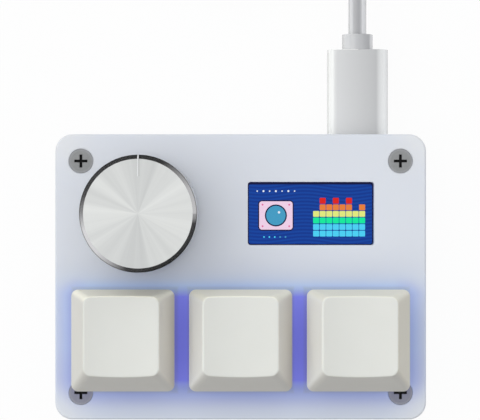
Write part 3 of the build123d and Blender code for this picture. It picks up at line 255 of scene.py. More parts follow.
def milky_acrylic(name, glow_strength):
    """Frosted white acrylic that carries the blue light of the keys, painted into its colour and
    emission, with painted shade and highlights.
    """
    made, t = material(name)
    x, y, _ = t.split(t.here())
    _, _, nz = t.split(t.node("TexCoord", "Normal"))
    # down the casing's sides the glow is faint and fades slowly
    from_row = t.math("ABSOLUTE", t.math("SUBTRACT", y, key_row_y))
    side_glow = t.math("MULTIPLY", t.steps(from_row, 26 * MM, 0.0), 0.16)
    facing_up = t.steps(nz, 0.2, 0.8)
    glow = t.math("MULTIPLY", facing_up, t.math("SUBTRACT", key_glow(t), side_glow))
    glow = t.math("ADD", glow, side_glow)
    cloud = t.between(t.noise(60.0, 2.0), -0.02, 0.02)
    lit = t.math("ADD", glow, cloud)
    # painted light: the keys' blue glow, painted into the acrylic's colour
    base = t.ramp(
        lit,
        (0.0, srgb(220, 223, 229)),
        (0.05, srgb(216, 220, 228)),
        (0.19, srgb(210, 218, 232)),
        (0.36, srgb(197, 212, 235)),
        (0.6, srgb(164, 177, 217)),
        (1.0, srgb(124, 130, 205)),
    )
    # painted shade: in front of the keys and beside them, the middle of the glow is deeper and
    # more violet
    from_middle = t.math("ABSOLUTE", x)
    beside = t.math("MULTIPLY", t.steps(from_middle, 26 * MM, 30 * MM), 0.6)
    shaded = t.math("MAXIMUM", t.steps(y, key_row_y + 6 * MM, key_row_y - 8 * MM), beside)
    within = t.math("MULTIPLY", t.steps(glow, 0.1, 0.36), t.steps(glow, 0.85, 0.55))
    shaded = t.math("MULTIPLY", shaded, within)
    base = t.mix(shaded, base, (0.85, 0.78, 0.89, 1.0), "MULTIPLY")
    # painted highlight: the plate is paler towards its corners
    corner = t.math(
        "MULTIPLY",
        t.steps(from_middle, plate_high.x - 8 * MM, plate_high.x - 1 * MM),
        t.steps(t.math("ABSOLUTE", y), plate_high.y - 8 * MM, plate_high.y - 1 * MM),
    )
    base = t.mix(t.math("MULTIPLY", corner, 0.4), base, srgb(234, 233, 230))
    # painted light: the same glow, given as the acrylic's own emission
    painted_glow = t.ramp(
        lit,
        (0.0, srgb(0, 0, 0)),
        (0.1, srgb(4, 6, 10)),
        (0.2, srgb(14, 24, 40)),
        (0.36, srgb(30, 52, 84)),
        (0.55, srgb(54, 72, 110)),
        (0.8, srgb(62, 68, 134)),
        (1.0, srgb(66, 66, 152)),
    )
    # painted shade: a fine darker, less blue line round the foot of each keycap
    cap_shade = cap_foot_shade(t)
    base = t.mix(cap_shade, base, CAP_SHADE_TINT, "MULTIPLY")
    painted_glow = t.mix(cap_shade, painted_glow, CAP_SHADE_TINT, "MULTIPLY")
    principled(
        t,
        Base_Color=base,
        Roughness=t.between(t.noise(2500.0, 2.0), 0.32, 0.42),
        Subsurface_Weight=0.25,
        Subsurface_Radius=(1.0, 1.05, 1.2),
        Subsurface_Scale=1.2 * MM,
        Emission_Color=painted_glow,
        Emission_Strength=glow_strength,
        IOR=1.49,
        Normal=t.bump(t.noise(3000.0, 3.0), 0.04, 0.02 * MM),
    )
    return made


def moulded(name, colour, shade, roughness=0.45, grain=0.08, grain_size=0.15, coat=0.0):
    """Moulded plastic: two close shades, an uneven gloss and a fine grain."""
    made, t = material(name)
    principled(
        t,
        Base_Color=t.mix(t.noise(220.0, 3.0), colour, shade),
        Roughness=t.between(t.noise(900.0, 2.0), roughness - 0.06, roughness + 0.06),
        Coat_Weight=coat,
        Coat_Roughness=0.08,
        Normal=t.bump(t.noise(1 / (grain_size * MM), 2.0), grain, 0.02 * MM),
    )
    return made


def glossy_lead(name, top, sides, turned, spread, strip, half_width, turned_until=0.0, lean=0.0):
    """The lead's smooth white plastic, with painted light and shade across it, and plainer further
    along.

    top and sides are each a colour at the left and one at the right. The top's painted shade goes
    from one to the other over spread, and turns into the sides' painted highlight as the surface's
    upward part falls from the first value of turned to the second, but only left of turned_until.
    A painted highlight strip down the right side comes in over strip, and a fine line of painted
    shade runs down both edges, at half_width. These places are in millimetres from the lead's
    middle, and lean tips the way that counts as upward.
    """
    made, t = material(name)
    x, y, _ = t.split(t.here())
    from_middle = t.math("SUBTRACT", x, lead_x)
    nx, _, nz = t.split(t.node("TexCoord", "Normal"))
    up = t.math("SUBTRACT", nz, t.math("MULTIPLY", nx, lean))
    grain = t.noise(1600.0, 2.0)
    # painted shade: the top's colour goes from left to right across the lead
    across = t.steps(from_middle, spread[0] * MM, spread[1] * MM, smooth=False)
    across = t.math("ADD", across, t.between(grain, -0.03, 0.03))
    # painted highlight: a strip down the right side
    beside = t.steps(from_middle, strip[0] * MM, strip[1] * MM, smooth=False)
    left = t.math("LESS_THAN", from_middle, turned_until * MM)
    # painted highlight: the sides, as they turn down from the top, left of turned_until
    pale = t.math("MAXIMUM", t.math("MULTIPLY", t.steps(up, *turned), left), beside)
    side = t.mix(t.steps(from_middle, -0.2 * MM, 0.2 * MM), *sides)
    near = t.mix(pale, t.mix(across, *top), side)
    out = t.math("ABSOLUTE", from_middle)
    # painted shade: a fine dark line down both edges
    edge_shade = t.steps(out, (half_width - 0.3) * MM, (half_width - 0.05) * MM)
    near = t.mix(edge_shade, near, (0.74, 0.74, 0.74, 1.0), "MULTIPLY")
    # further along, painted shading too: the sides a little lighter than the top
    far = t.mix(t.steps(nz, 0.99, 0.6), srgb(216, 216, 217), srgb(228, 228, 228))
    principled(
        t,
        Base_Color=t.mix(t.steps(y, 54 * MM, 68 * MM), near, far),
        Roughness=t.between(grain, 0.2, 0.26),
        Coat_Weight=0.4,
        Coat_Roughness=0.08,
    )
    return made


def keycap_plastic():
    """Fine-grained warm white plastic, with painted shading on its walls: shade, warmer and
    deeper, on the right and front, light on the rear, and both on the left.
    """
    made, t = material("keycap_plastic")
    nx, ny, _ = t.split(t.node("TexCoord", "Normal"))
    x, _, z = t.split(t.here())
    grain = t.noise(7500.0, 2.0)
    height = t.steps(z, keycap_low.z, keycap_high.z, smooth=False)
    colour = t.mix(t.noise(220.0, 3.0), srgb(226, 226, 219), srgb(222, 222, 215))
    # painted shade: the right walls darker and warmer towards their foot, and on the right key
    # evenly
    right = t.mix(height, srgb(208, 201, 185), srgb(238, 234, 224))
    right = t.mix(t.steps(x, 12 * MM, 24 * MM), right, srgb(223, 218, 203))
    # painted light and shade: the left walls lighter, but darker on the left key
    left = t.mix(t.steps(x, -24 * MM, -12 * MM), srgb(221, 219, 210), srgb(243, 242, 235))
    # painted highlight: the rear walls paler, a little less towards the right
    rear = t.mix(t.steps(x, -8 * MM, 24 * MM), srgb(249, 246, 229), srgb(235, 233, 219))
    # the painted wall colours go on by which way each wall faces
    colour = t.mix(t.steps(nx, 0.15, 0.8), colour, right)
    colour = t.mix(t.steps(nx, -0.15, -0.8), colour, left)
    # painted shade: the front walls darker
    colour = t.mix(t.steps(ny, -0.15, -0.8), colour, srgb(204, 201, 193))
    colour = t.mix(t.steps(ny, 0.15, 0.7), colour, rear)
    principled(
        t,
        Base_Color=colour,
        Roughness=t.between(t.noise(900.0, 2.0), 0.44, 0.56),
        Subsurface_Weight=0.1,
        Subsurface_Radius=(1.0, 0.9, 0.75),
        Subsurface_Scale=0.8 * MM,
        Normal=t.bump(grain, 0.12, 0.02 * MM),
    )
    return made


def metal(name, colour, shade, roughness=0.3, grain=0.06, stretch=(1.0, 1.0, 1.0)):
    """Plated, drawn or stamped metal, with its grain finer along the axis that stretch raises."""
    made, t = material(name)
    streaks = t.noise(1500.0, 3.0, t.vector("MULTIPLY", t.here(), stretch))
    principled(
        t,
        Base_Color=t.mix(streaks, colour, shade),
        Metallic=1.0,
        Roughness=t.between(streaks, roughness - 0.08, roughness + 0.1),
        Normal=t.bump(streaks, grain, 0.01 * MM),
    )
    return made


def screw_steel():
    """A flat grey screw head with a paler rim, a black cross recess, and a painted blue reflection
    of the keys' glow near them.
    """
    made, t = material("screw_steel")
    x, y, z = t.split(t.here())
    # all eight screws at once: x, y and z are folded onto one rear right corner
    from_axis = t.join(
        t.math("SUBTRACT", t.math("ABSOLUTE", x), screw_x),
        t.math("SUBTRACT", t.math("ABSOLUTE", y), screw_y),
    )
    radius = t.vector("LENGTH", from_axis, out="Value")
    face_high, face_low = screw_faces
    middle_z, half_z = (face_high + face_low) / 2, (face_high - face_low) / 2
    depth = t.math("SUBTRACT", half_z, t.math("ABSOLUTE", t.math("SUBTRACT", z, middle_z)))
    in_cross = t.math("LESS_THAN", radius, 1.3 * MM)
    sunk = t.math("MULTIPLY", t.steps(depth, 0.02 * MM, 0.12 * MM), in_cross)
    rim = t.steps(radius, screw_radius - 0.5 * MM, screw_radius)
    grain = t.noise(2500.0, 3.0)
    face = t.mix(grain, srgb(148, 149, 149), srgb(137, 138, 138))
    # painted reflection: near the keys the screw faces take on their blue glow
    face = t.mix(t.math("MULTIPLY", key_glow(t), 0.9), face, srgb(131, 131, 178))
    face = t.mix(t.math("MULTIPLY", rim, 0.35), face, srgb(172, 173, 178))
    principled(
        t,
        Base_Color=t.mix(sunk, face, srgb(14, 14, 15)),
        Metallic=t.between(sunk, 0.25, 0.0),
        Roughness=t.between(grain, 0.42, 0.55),
        Specular_IOR_Level=0.2,
        Normal=t.bump(grain, 0.08, 0.01 * MM),
    )
    return made


def spun_knob():
    """A turned aluminium knob: spun face with painted highlight wedges, polished bevel, satin side
    and a pale pointer notch.
    """
    made, t = material("knob_aluminium")
    x, y, _ = t.split(t.vector("SUBTRACT", t.here(), tuple(knob_axis)))
    _, _, z = t.split(t.here())
    from_axis = t.join(x, y)
    radius = t.vector("LENGTH", from_axis, out="Value")
    top = knob_high.z

    def above(level):
        return t.math("GREATER_THAN", z, level)

    on_face = t.math("LESS_THAN", radius, knob_radius - knob_bevel + 0.01 * MM)
    on_face = t.math("MULTIPLY", on_face, above(top - 0.15 * MM))
    off_face = t.math("SUBTRACT", 1.0, on_face)
    on_bevel = t.math("MULTIPLY", above(top - knob_bevel - 0.02 * MM), off_face)

    # the pointer notch, pale, with a fine painted shade line to the right of it on the face
    along_notch = t.math("GREATER_THAN", y, knob_radius - 3.62 * MM)
    half_notch = t.between(on_bevel, 0.065 * MM, 0.1 * MM)
    in_notch = t.math("LESS_THAN", t.math("ABSOLUTE", x), half_notch)
    in_notch = t.math("MULTIPLY", t.math("MULTIPLY", in_notch, along_notch), above(top - 1.6 * MM))
    from_line = t.math("ABSOLUTE", t.math("SUBTRACT", x, 0.16 * MM))
    on_shade_line = t.math("MULTIPLY", t.math("LESS_THAN", from_line, 0.07 * MM), on_face)
    on_shade_line = t.math("MULTIPLY", on_shade_line, along_notch)

    # a fine painted shade line round the bevel's foot
    outline = t.steps(radius, knob_radius - 0.2 * MM, knob_radius - 0.06 * MM)
    outline = t.math("MULTIPLY", outline, above(top - knob_bevel - 0.15 * MM))

    # painted highlights: brighter and darker wedges round the spun face, where its reflections
    # fall
    angle = t.math("ARCTAN2", y, x)
    across = t.math("MULTIPLY", t.math("COSINE", angle), 2.6)
    upward = t.math("MULTIPLY", t.math("SINE", angle), 2.6)
    painted_wedge_highlights = t.noise(1.0, 4.0, t.join(across, upward), 0.55)
    face = t.mix(t.between(painted_wedge_highlights, -0.8, 1.8), srgb(197, 199, 199), srgb(216, 218, 217))
    colour = t.mix(on_face, srgb(214, 215, 216), face)
    colour = t.mix(on_bevel, colour, srgb(222, 222, 224))
    colour = t.mix(t.math("MULTIPLY", on_shade_line, 0.6), colour, srgb(150, 152, 150))
    colour = t.mix(t.math("MULTIPLY", outline, 0.75), colour, srgb(120, 122, 121))
    colour = t.mix(in_notch, colour, srgb(250, 250, 250))

    rough = t.mix(on_face, (0.28, 0.28, 0.28, 1.0), (0.5, 0.5, 0.5, 1.0))
    rough = t.mix(on_bevel, rough, (0.09, 0.09, 0.09, 1.0))
    rings = t.noise(1.0, 4.0, t.join(t.math("MULTIPLY", radius, 9000.0), 0.0), 0.7)
    side_rings = t.noise(1.0, 3.0, t.join(t.math("MULTIPLY", z, 7000.0), 0.0), 0.6)
    off_bevel = t.math("SUBTRACT", 1.0, on_bevel)
    groove_depth = t.math("MULTIPLY", off_bevel, t.between(on_face, 0.12, 0.1))
    principled(
        t,
        Base_Color=colour,
        Metallic=t.math("SUBTRACT", 1.0, in_notch),
        Roughness=rough,
        Anisotropic=0.7,
        Tangent=t.vector("NORMALIZE", from_axis),
        Normal=t.bump(t.mix(on_face, side_rings, rings), groove_depth, 0.01 * MM),
    )
    return made


finishes = {
    "plate_acrylic": milky_acrylic("plate_acrylic", 1.0),
    "frame_acrylic": milky_acrylic("frame_acrylic", 0.5),
    "foot_rubber": moulded("foot_rubber", srgb(38, 38, 39), srgb(30, 30, 31), 0.75, 0.3, 0.25),
    "screw_steel": screw_steel(),
    "pillar_brass": metal("pillar_brass", srgb(214, 178, 108), srgb(196, 158, 90), 0.28),
    "board_mask": moulded(
        "board_mask", srgb(222, 226, 224), srgb(212, 216, 214), 0.35, 0.05, 0.4, coat=0.3
    ),
    "chip_black": moulded("chip_black", srgb(34, 34, 36), srgb(28, 28, 30), 0.55, 0.2, 0.08),
    "component_body": moulded("component_body", srgb(186, 172, 148), srgb(162, 146, 120), 0.5),
    "socket_plastic": moulded("socket_plastic", srgb(36, 36, 38), srgb(30, 30, 32), 0.5),
    "usb_steel": metal(
        "usb_steel", srgb(214, 214, 214), srgb(200, 200, 202), 0.25, 0.05, (6.0, 1.0, 1.0)
    ),
    "tongue_plastic": moulded("tongue_plastic", srgb(36, 36, 38), srgb(30, 30, 32), 0.5),
    "backlight_white": moulded("backlight_white", srgb(226, 226, 226), srgb(216, 216, 216), 0.4),
    "ribbon_film": moulded("ribbon_film", srgb(170, 104, 40), srgb(150, 88, 30), 0.3, coat=0.5),
    "pad_foam": moulded("pad_foam", srgb(52, 52, 54), srgb(40, 40, 42), 0.9, 0.6, 0.3),
    "keycap_plastic": keycap_plastic(),
    "stem_plastic": moulded("stem_plastic", srgb(198, 44, 40), srgb(184, 38, 34), 0.35, coat=0.2),
    "switch_cover_plastic": moulded(
        "switch_cover_plastic", srgb(206, 210, 232), srgb(196, 202, 228), 0.3, coat=0.3
    ),
    "switch_base_plastic": moulded(
        "switch_base_plastic", srgb(206, 208, 228), srgb(196, 200, 224), 0.4
    ),
    "spring_steel": metal("spring_steel", srgb(214, 208, 196), srgb(196, 188, 172), 0.22),
    "contact_copper": metal("contact_copper", srgb(214, 156, 110), srgb(198, 140, 96), 0.3),
    "encoder_plastic": moulded("encoder_plastic", srgb(44, 62, 50), srgb(36, 52, 42), 0.5),
    "encoder_metal": metal(
        "encoder_metal", srgb(206, 206, 206), srgb(190, 190, 192), 0.32, 0.06, (1.0, 8.0, 1.0)
    ),
    "rotor_plastic": moulded("rotor_plastic", srgb(228, 226, 214), srgb(218, 216, 204), 0.4),
    "shaft_metal": metal(
        "shaft_metal", srgb(214, 214, 216), srgb(200, 200, 203), 0.22, 0.06, (1.0, 1.0, 12.0)
    ),
    "knob_aluminium": spun_knob(),
    "set_screw_steel": metal("set_screw_steel", srgb(92, 92, 95), srgb(70, 70, 74), 0.4),
    # painted shading on the plug: its top painted shade from left to right, its turned sides and a
    # right strip painted highlights
    "lead_plastic": glossy_lead(
        "lead_plastic",
        top=(srgb(213, 213, 212), srgb(184, 184, 184)),
        sides=(srgb(254, 254, 250), srgb(255, 255, 253)),
        turned=(0.985, 0.86),
        spread=(-4.4, 4.1),
        strip=(3.2, 4.7),
        half_width=5.4,
    ),
    "tie_plastic": moulded(
        "tie_plastic", srgb(232, 232, 231), srgb(224, 224, 223), 0.4, 0.1, 0.3, coat=0.2
    ),
}


def glowing(name, colour, strength=1.0, line_colour=None):
    """A lit patch of the screen, with fine wavy lines where they have a colour."""
    made, t = material(name)
    if line_colour is not None:
        spacing, wave = 0.62 * MM, 0.35 * MM
        x, y, _ = t.split(t.here())
        ripple = t.math("MULTIPLY", t.math("SINE", t.math("MULTIPLY", x, 420.0)), wave)
        phase = t.math("MULTIPLY", t.math("ADD", y, ripple), 2 * math.pi / spacing)
        lines = t.math("ADD", t.math("MULTIPLY", t.math("SINE", phase), 0.5), 0.5)
        colour = t.mix(lines, colour, line_colour)
    grain = t.between(t.noise(6000.0, 1.0), 0.0, 0.16)
    principled(
        t,
        Base_Color=(0.001, 0.001, 0.003, 1.0),
        Roughness=0.12,
        Specular_IOR_Level=0.08,
        Emission_Color=t.mix(grain, colour, (0.0, 0.0, 0.02, 1.0)),
        Emission_Strength=strength,
    )
    return made


finishes["screen_glass"] = glowing("screen_glass", srgb(14, 16, 52))
finishes["led_lens"] = glowing("led_lens", srgb(110, 120, 255), 1.5)

# the collars share the lead's slot, and have a finish of their own, with painted shading across
# them
collar_finish = glossy_lead(
    "collar_plastic",
    top=(srgb(226, 226, 226), srgb(186, 186, 187)),
    sides=(srgb(222, 222, 222), srgb(236, 236, 236)),
    turned=(0.97, 0.75),
    spread=(-3.4, -0.3),
    strip=(2.0, 2.3),
    half_width=2.75,
)
slot_of = {s["node"]: s["material_slot"] for s in frame["record"]["subparts"]}
for node_name, node in nodes.items():
    finish = collar_finish if "collar" in node_name else finishes[slot_of[node_name]]
    node.data.materials.clear()
    node.data.materials.append(finish)


# ---------------------------------------------------------------- mesh helpers
def new_piece(name, mesh_or_curve, finish, body, smooth=True):
    """Link a new piece, give it a finish and let it ride on a body."""
    piece = bpy.data.objects.new(name, mesh_or_curve)
    bpy.context.scene.collection.objects.link(piece)
    if finish is not None:
        mesh_or_curve.materials.append(finish)
    if smooth and isinstance(mesh_or_curve, bpy.types.Mesh):
        mesh_or_curve.polygons.foreach_set("use_smooth", [True] * len(mesh_or_curve.polygons))
    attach(piece, body)
    return piece


def tube_along(points, radius, sides):
    """A closed round tube through the points, as vertices and faces."""
    vertices, faces = [], []
    side_axis = Vector((0, 0, 1))
    for i, point in enumerate(points):
        before, after = points[max(i - 1, 0)], points[min(i + 1, len(points) - 1)]
        along = (after - before).normalized()
        across = along.cross(side_axis).normalized()
        up = across.cross(along)
        for s in range(sides):
            turn = 2 * math.pi * s / sides
            vertices.append(point + radius * (math.cos(turn) * across + math.sin(turn) * up))
    for i in range(len(points) - 1):
        for s in range(sides):
            a, b = i * sides + s, i * sides + (s + 1) % sides
            faces.append((a, b, b + sides, a + sides))
    faces.append(tuple(range(sides))[::-1])
    faces.append(tuple(range((len(points) - 1) * sides, len(points) * sides)))
    return vertices, faces


def mesh_from(name, vertices, faces):
    """A mesh of those vertices and faces."""
    made = bpy.data.meshes.new(name)
    made.from_pydata([tuple(v) for v in vertices], [], faces)
    made.validate()
    made.update()
    return made


# ---------------------------------------------------------------- coil springs
SPRING_WIRE = 0.15 * MM  # its radius
SPRING_TURNS = 10
SPRING_STEPS = 24  # to a turn
SPRING_SIDES = 8


def key_spring(key):
    """A coil spring with close turns at both ends, where the CAD node stands."""
    low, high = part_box(f"{key}_switch_spring")
    centre = (low + high) / 2
    radius = (high.x - low.x) / 2 - SPRING_WIRE
    length = high.z - low.z
    steps = SPRING_TURNS * SPRING_STEPS
    points = []
    for i in range(steps + 1):
        share = i / steps
        risen = share - 0.495 * math.sin(2 * math.pi * share) / (2 * math.pi)
        angle = 2 * math.pi * SPRING_TURNS * share
        x, y = centre.x + radius * math.cos(angle), centre.y + radius * math.sin(angle)
        points.append(Vector((x, y, low.z + SPRING_WIRE + (length - 2 * SPRING_WIRE) * risen)))
    name = f"{key}_coil_spring"
    mesh = mesh_from(name, *tube_along(points, SPRING_WIRE, SPRING_SIDES))
    piece = new_piece(name, mesh, finishes["spring_steel"], "casing")
    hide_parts(f"{key}_switch_spring")
    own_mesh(piece)


for key in KEYS:
    key_spring(key)

# the dome's rings from its rim to its top, as shares of its radius and of its height
DOME_RINGS = ((1.0, 0.0), (1.0, 0.08), (0.93, 0.3), (0.7, 0.72), (0.35, 0.94), (0.02, 1.0))
DOME_SIDES = 48
DOME_THICKNESS = 0.1 * MM
DOME_WALL = 0.06 * MM  # how far the inside's rings are drawn in
DOME_CENTRE = 0.01 * MM  # the least radius of a ring


def click_dome():
    """The dome under the encoder, as a thin shell where the CAD node stands."""
    low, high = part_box("push_dome")
    centre = (low + high) / 2
    outer = (high.x - low.x) / 2
    rings, sides = DOME_RINGS, DOME_SIDES
    vertices, faces = [], []
    for layer in (0, 1):
        for width, share in rings:
            drop = DOME_THICKNESS if layer and share > 0.1 else 0.0
            height = low.z + share * (high.z - low.z) - drop
            radius = max(outer * width - layer * DOME_WALL, DOME_CENTRE)
            for s in range(sides):
                turn = 2 * math.pi * s / sides
                x, y = centre.x + radius * math.cos(turn), centre.y + radius * math.sin(turn)
                vertices.append((x, y, height))
    count = len(rings) * sides
    for layer in (0, 1):
        for r in range(len(rings) - 1):
            for s in range(sides):
                a = layer * count + r * sides + s
                b = layer * count + r * sides + (s + 1) % sides
                quad = (a, b, b + sides, a + sides)
                faces.append(quad if layer == 0 else quad[::-1])
        top = [layer * count + (len(rings) - 1) * sides + s for s in range(sides)]
        faces.append(tuple(top) if layer == 0 else tuple(top[::-1]))
    for s in range(sides):
        a, b = s, (s + 1) % sides
        faces.append((b, a, a + count, b + count))
    mesh = mesh_from("click_dome", vertices, faces)
    piece = new_piece("click_dome", mesh, finishes["spring_steel"], "casing")
    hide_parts("push_dome")
    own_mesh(piece)


click_dome()


# ---------------------------------------------------------------- the lead, one smooth cord
cable_radius = 1.6 * MM

# its route in millimetres, with part.py's points, and the coil's turns as more points of it
lead_route = [
    (20.87, 43.05, 7.3),
    (20.87, 50.96, 7.3),
    (20.99, 59.53, 5.0),
    (21.23, 68.09, 2.61),
]
tail_route = [(-6.97, 98.4, 5.19), (-13.37, 98.4, 4.0), (-19.23, 98.4, 4.0)]
coil_x, coil_y = -0.93, 76.0
coil_turn_radii = (22.4, 19.2, 16.0, 12.8)
coil_turn_pitch = 3.2  # a diameter
coil_layer_heights = (2.2, 5.4)
POINTS_PER_TURN = 16
STEP_FROM = 0.62  # the share of each turn after which it steps over to the next
CLIMB_TURNS = 0.6  # how long the climb to the upper layer takes


def eased(share):
    """share held between 0 and 1, with a gentle start and end."""
    share = min(max(share, 0.0), 1.0)
    return share * share * (3 - 2 * share)


def coil_points():
    """Four turns inwards on the lower layer and four outwards on the upper one."""
    turns = len(coil_turn_radii)
    low, high = coil_layer_heights
    # the spline runs a little inside its points, and this makes up for half of that
    outside = 1 / math.cos(math.pi / POINTS_PER_TURN) ** 0.5
    points = []
    for i in range(2 * turns * POINTS_PER_TURN + POINTS_PER_TURN // 4):
        turn = (i + 0.5) / POINTS_PER_TURN
        place = turn if turn < turns else 2 * turns - turn
        place = min(max(place, 0.0), turns - 0.001)
        inner = math.floor(place)
        radius = coil_turn_radii[inner]
        if inner < turns - 1:
            radius -= coil_turn_pitch * eased((place - inner - STEP_FROM) / (1 - STEP_FROM))
        climb = eased((turn - (turns - CLIMB_TURNS / 2)) / CLIMB_TURNS)
        angle = 2 * math.pi * turn
        x = coil_x + radius * outside * math.cos(angle)
        y = coil_y + radius * outside * math.sin(angle)
        points.append((x, y, low + (high - low) * climb))
    return points


def make_lead():
    """The cord from the plug's collar through the coil to the far plug."""
    route = lead_route + coil_points() + tail_route
    curve = bpy.data.curves.new("usb_lead", "CURVE")
    curve.dimensions = "3D"
    curve.bevel_depth = cable_radius
    curve.bevel_resolution = 6
    curve.resolution_u = 8
    spline = curve.splines.new("NURBS")
    spline.points.add(len(route) - 1)
    for point, place in zip(spline.points, route):
        point.co = (*(c * MM for c in place), 1.0)
    spline.order_u = 3
    spline.use_endpoint_u = True
    curve.use_fill_caps = True
    # painted shading near the plug: a grey painted shade along the top, painted highlights down
    # the sides
    jacket = glossy_lead(
        "cable_jacket",
        top=(srgb(162, 162, 164), srgb(162, 162, 164)),
        sides=(srgb(226, 226, 226), srgb(238, 238, 238)),
        turned=(1.0, 0.78),
        spread=(-1.0, 1.0),
        strip=(1.6, 1.7),
        half_width=1.6,
        turned_until=1.6,
        lean=0.06,
    )
    lead = new_piece("usb_lead", curve, jacket, "casing")
    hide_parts("usb_cable", "cable_coil", "usb_cable_tail")


make_lead()


# ---------------------------------------------------------------- the screen's picture
def slab(work, outline, z, thickness, material_index):
    """A thin closed plate with that outline, in a bmesh."""
    low = [work.verts.new((x, y, z)) for x, y in outline]
    high = [work.verts.new((x, y, z + thickness)) for x, y in outline]
    faces = [work.faces.new(low[::-1]), work.faces.new(high)]
    for i in range(len(outline)):
        j = (i + 1) % len(outline)
        faces.append(work.faces.new((low[i], low[j], high[j], high[i])))
    for face in faces:
        face.material_index = material_index


def rounded_box(x, y, width, height, radius, steps=6):
    """The outline of a rounded rectangle with its middle at x, y."""
    outline = []
    for corner, (sx, sy) in enumerate(((1, 1), (-1, 1), (-1, -1), (1, -1))):
        cx, cy = x + sx * (width / 2 - radius), y + sy * (height / 2 - radius)
        for i in range(steps + 1):
            turn = math.pi / 2 * (corner + i / steps)
            outline.append((cx + radius * math.cos(turn), cy + radius * math.sin(turn)))
    return outline


def ring_of(x, y, radius, steps=24):
    """The outline of a circle with its middle at x, y."""
    turns = [2 * math.pi * i / steps for i in range(steps)]
    return [(x + radius * math.cos(turn), y + radius * math.sin(turn)) for turn in turns]


def screen_picture():
    """A sound level display: coloured bars, a pink tile with a dial on it, and rows of dots."""
    colours = [
        glowing("screen_border", srgb(12, 16, 60)),
        glowing("screen_blue", srgb(8, 54, 142), line_colour=srgb(14, 70, 164)),
        glowing("screen_red", srgb(226, 34, 22)),
        glowing("screen_orange", srgb(238, 130, 56)),
        glowing("screen_lime", srgb(232, 240, 130)),
        glowing("screen_green", srgb(10, 240, 160)),
        glowing("screen_cyan", srgb(76, 214, 250)),
        glowing("screen_pink", srgb(246, 214, 238)),
        glowing("screen_sky", srgb(70, 160, 200)),
        glowing("screen_white", srgb(236, 244, 255)),
        glowing("screen_rose", srgb(232, 110, 160)),
    ]
    border, blue, red, orange, lime, green, cyan, pink, sky, white, rose = range(len(colours))
    work = bmesh.new()
    cx, cy, z = (c / MM for c in window_middle)
    width, height = window_size
    thickness = 0.012

    def lay(level, colour, outline):
        slab(work, outline, z + level * thickness, thickness, colour)

    lay(0, border, rounded_box(cx, cy, width, height, 0.5))
    lay(1, blue, rounded_box(cx, cy - 0.12, width - 0.4, height - 0.6, 0.35))

    # level bars, each in blocks whose colour goes with the height
    pitch = 1.16
    block_colours = [cyan, cyan, green, lime, orange, red]
    for i, level in enumerate([4, 6, 5, 6, 5, 6, 4, 5]):
        for j in range(level):
            x, y = cx + 1.0 + i * pitch, cy - 3.55 + j * pitch
            lay(2, block_colours[j], rounded_box(x, y, 1.06, 1.02, 0.12, 2))

    # the tile, its dial and four studs
    tile_x, tile_y = cx - 6.1, cy - 0.35
    lay(2, border, rounded_box(tile_x, tile_y, 6.3, 5.4, 0.7))
    lay(3, pink, rounded_box(tile_x, tile_y, 5.9, 5.0, 0.5))
    lay(4, border, ring_of(tile_x, tile_y, 1.95))
    lay(5, sky, ring_of(tile_x, tile_y, 1.72))
    lay(6, white, rounded_box(tile_x + 0.55, tile_y + 0.55, 0.42, 0.42, 0.2))
    for sx, sy in ((-1, 1), (1, 1), (-1, -1), (1, -1)):
        lay(4, rose, ring_of(tile_x + sx * 2.35, tile_y + sy * 1.9, 0.17, 10))

    # dots along the top and a short line of them at the bottom
    for i in range(7):
        lay(2, white, ring_of(cx - 9.4 + i * 1.1, cy + 3.95, 0.13 + 0.05 * (i % 2), 10))
    for i in range(5):
        lay(2, cyan if i < 3 else sky, ring_of(cx - 8.2 + i * 0.95, cy - 4.15, 0.15, 10))

    mesh = bpy.data.meshes.new("screen_picture")
    work.to_mesh(mesh)
    work.free()
    mesh.transform(Matrix.Scale(MM, 4))
    for made in colours:
        mesh.materials.append(made)
    new_piece("screen_picture", mesh, None, "casing", smooth=False)


screen_picture()


# ---------------------------------------------------------------- studio
def seen_as_white(tree):
    """1 for rays from the camera, a mirror or glass, which see a plain white background."""
    camera_ray = tree.node("LightPath", "Is Camera Ray")
    glossy_ray = tree.node("LightPath", "Is Glossy Ray")
    transmission_ray = tree.node("LightPath", "Is Transmission Ray")
    return tree.math("MAXIMUM", tree.math("MAXIMUM", camera_ray, glossy_ray), transmission_ray)


def make_floor():
    """A wide white floor, just under the feet, that keeps the object's shadow."""
    reach = 12.0  # metres
    z = -0.02 * MM
    corners = [(-reach, -reach, z), (reach, -reach, z), (reach, reach, z), (-reach, reach, z)]
    mesh = mesh_from("floor", [Vector(c) for c in corners], [(0, 1, 2, 3)])
    made, t = material("floor")
    lit = t.node("BsdfDiffuse", inputs={"Color": (0.8, 0.8, 0.8, 1.0)})
    white = t.node("Emission", inputs={"Color": (1.0, 1.0, 1.0, 1.0), "Strength": 1.0})
    share = t.math("MULTIPLY", seen_as_white(t), 0.95)
    t.surface(t.node("MixShader", inputs={0: share, 1: lit, 2: white}))
    mesh.materials.append(made)
    floor = bpy.data.objects.new("floor", mesh)
    bpy.context.scene.collection.objects.link(floor)


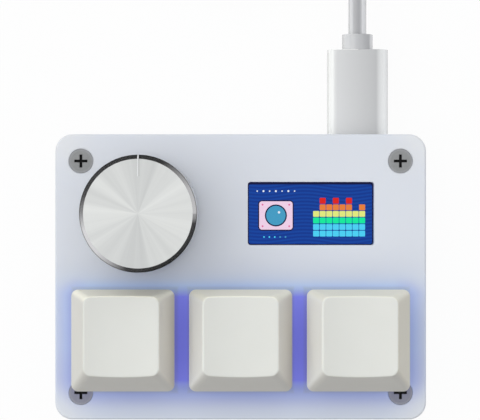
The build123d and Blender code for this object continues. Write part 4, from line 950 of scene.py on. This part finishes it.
def make_wall():
    """A low round wall that only glossy surfaces mirror, dark with a soft light at each side."""
    radius, low, high, steps = 0.32, 0.001, 0.3, 72
    corners, faces = [], []
    for i in range(steps):
        turn = 2 * math.pi * i / steps
        x, y = radius * math.sin(turn), radius * math.cos(turn)
        corners += [Vector((x, y, low)), Vector((x, y, high))]
        a, b = 2 * i, 2 * ((i + 1) % steps)
        faces.append((a, b, b + 1, a + 1))
    mesh = mesh_from("studio_wall", corners, faces)
    made, t = material("studio_wall")
    x, y, _ = t.split(t.here())
    # the light at places round the wall, in degrees clockwise from the rear as seen from above
    lights = (
        (20, 0.04), (60, 0.62), (85, 0.7), (99, 0.06), (150, 0.03), (198, 0.04),
        (216, 0.5), (232, 0.85), (256, 0.9), (273, 0.3), (290, 0.03),
    )
    # the share runs the same way, but from the front
    share = t.math("ADD", t.math("DIVIDE", t.math("ARCTAN2", x, y), 2 * math.pi), 0.5)
    stops = sorted(((degrees / 360 + 0.5) % 1.0, (v, v, v, 1.0)) for degrees, v in lights)
    t.surface(t.node("Emission", inputs={"Color": t.ramp(share, *stops), "Strength": 1.0}))
    mesh.materials.append(made)
    wall = bpy.data.objects.new("studio_wall", mesh)
    bpy.context.scene.collection.objects.link(wall)
    wall.visible_camera = wall.visible_diffuse = False
    wall.visible_shadow = wall.visible_transmission = False


def make_world():
    """A soft dome, brightest overhead and towards the left."""
    world = bpy.data.worlds.new("studio")
    bpy.context.scene.world = world
    t = Tree(world)
    x, y, z = t.split(t.node("TexCoord", "Generated"))
    dome = t.math("ADD", 0.08, t.math("MULTIPLY", z, 1.2))
    dome = t.math("ADD", dome, t.math("MULTIPLY", y, 0.42))
    dome = t.math("ADD", dome, t.math("MULTIPLY", x, -0.22))
    white = seen_as_white(t)
    colour = t.mix(white, (0.965, 0.987, 1.02, 1.0), (1.0, 1.0, 1.0, 1.0))
    strength = t.math("MAXIMUM", dome, white)
    background = t.node("Background", inputs={"Color": colour, "Strength": strength})
    output = t.tree.nodes.new("ShaderNodeOutputWorld")
    t.tree.links.new(background, output.inputs["Surface"])


def make_lamp(name, place, aim, size, power):
    """A warm round lamp at place, turned towards aim."""
    data = bpy.data.lights.new(name, "AREA")
    data.shape = "DISK"
    data.size = size
    data.energy = power
    data.color = (1.0, 0.97, 0.91)
    lamp = bpy.data.objects.new(name, data)
    lamp.location = place
    lamp.rotation_euler = (Vector(aim) - Vector(place)).to_track_quat("-Z", "Y").to_euler()
    bpy.context.scene.collection.objects.link(lamp)


make_floor()
make_wall()
make_world()
make_lamp("key_lamp", (-0.6, 0.12, 0.85), (0, 0, 0.01), 0.95, 1.7)
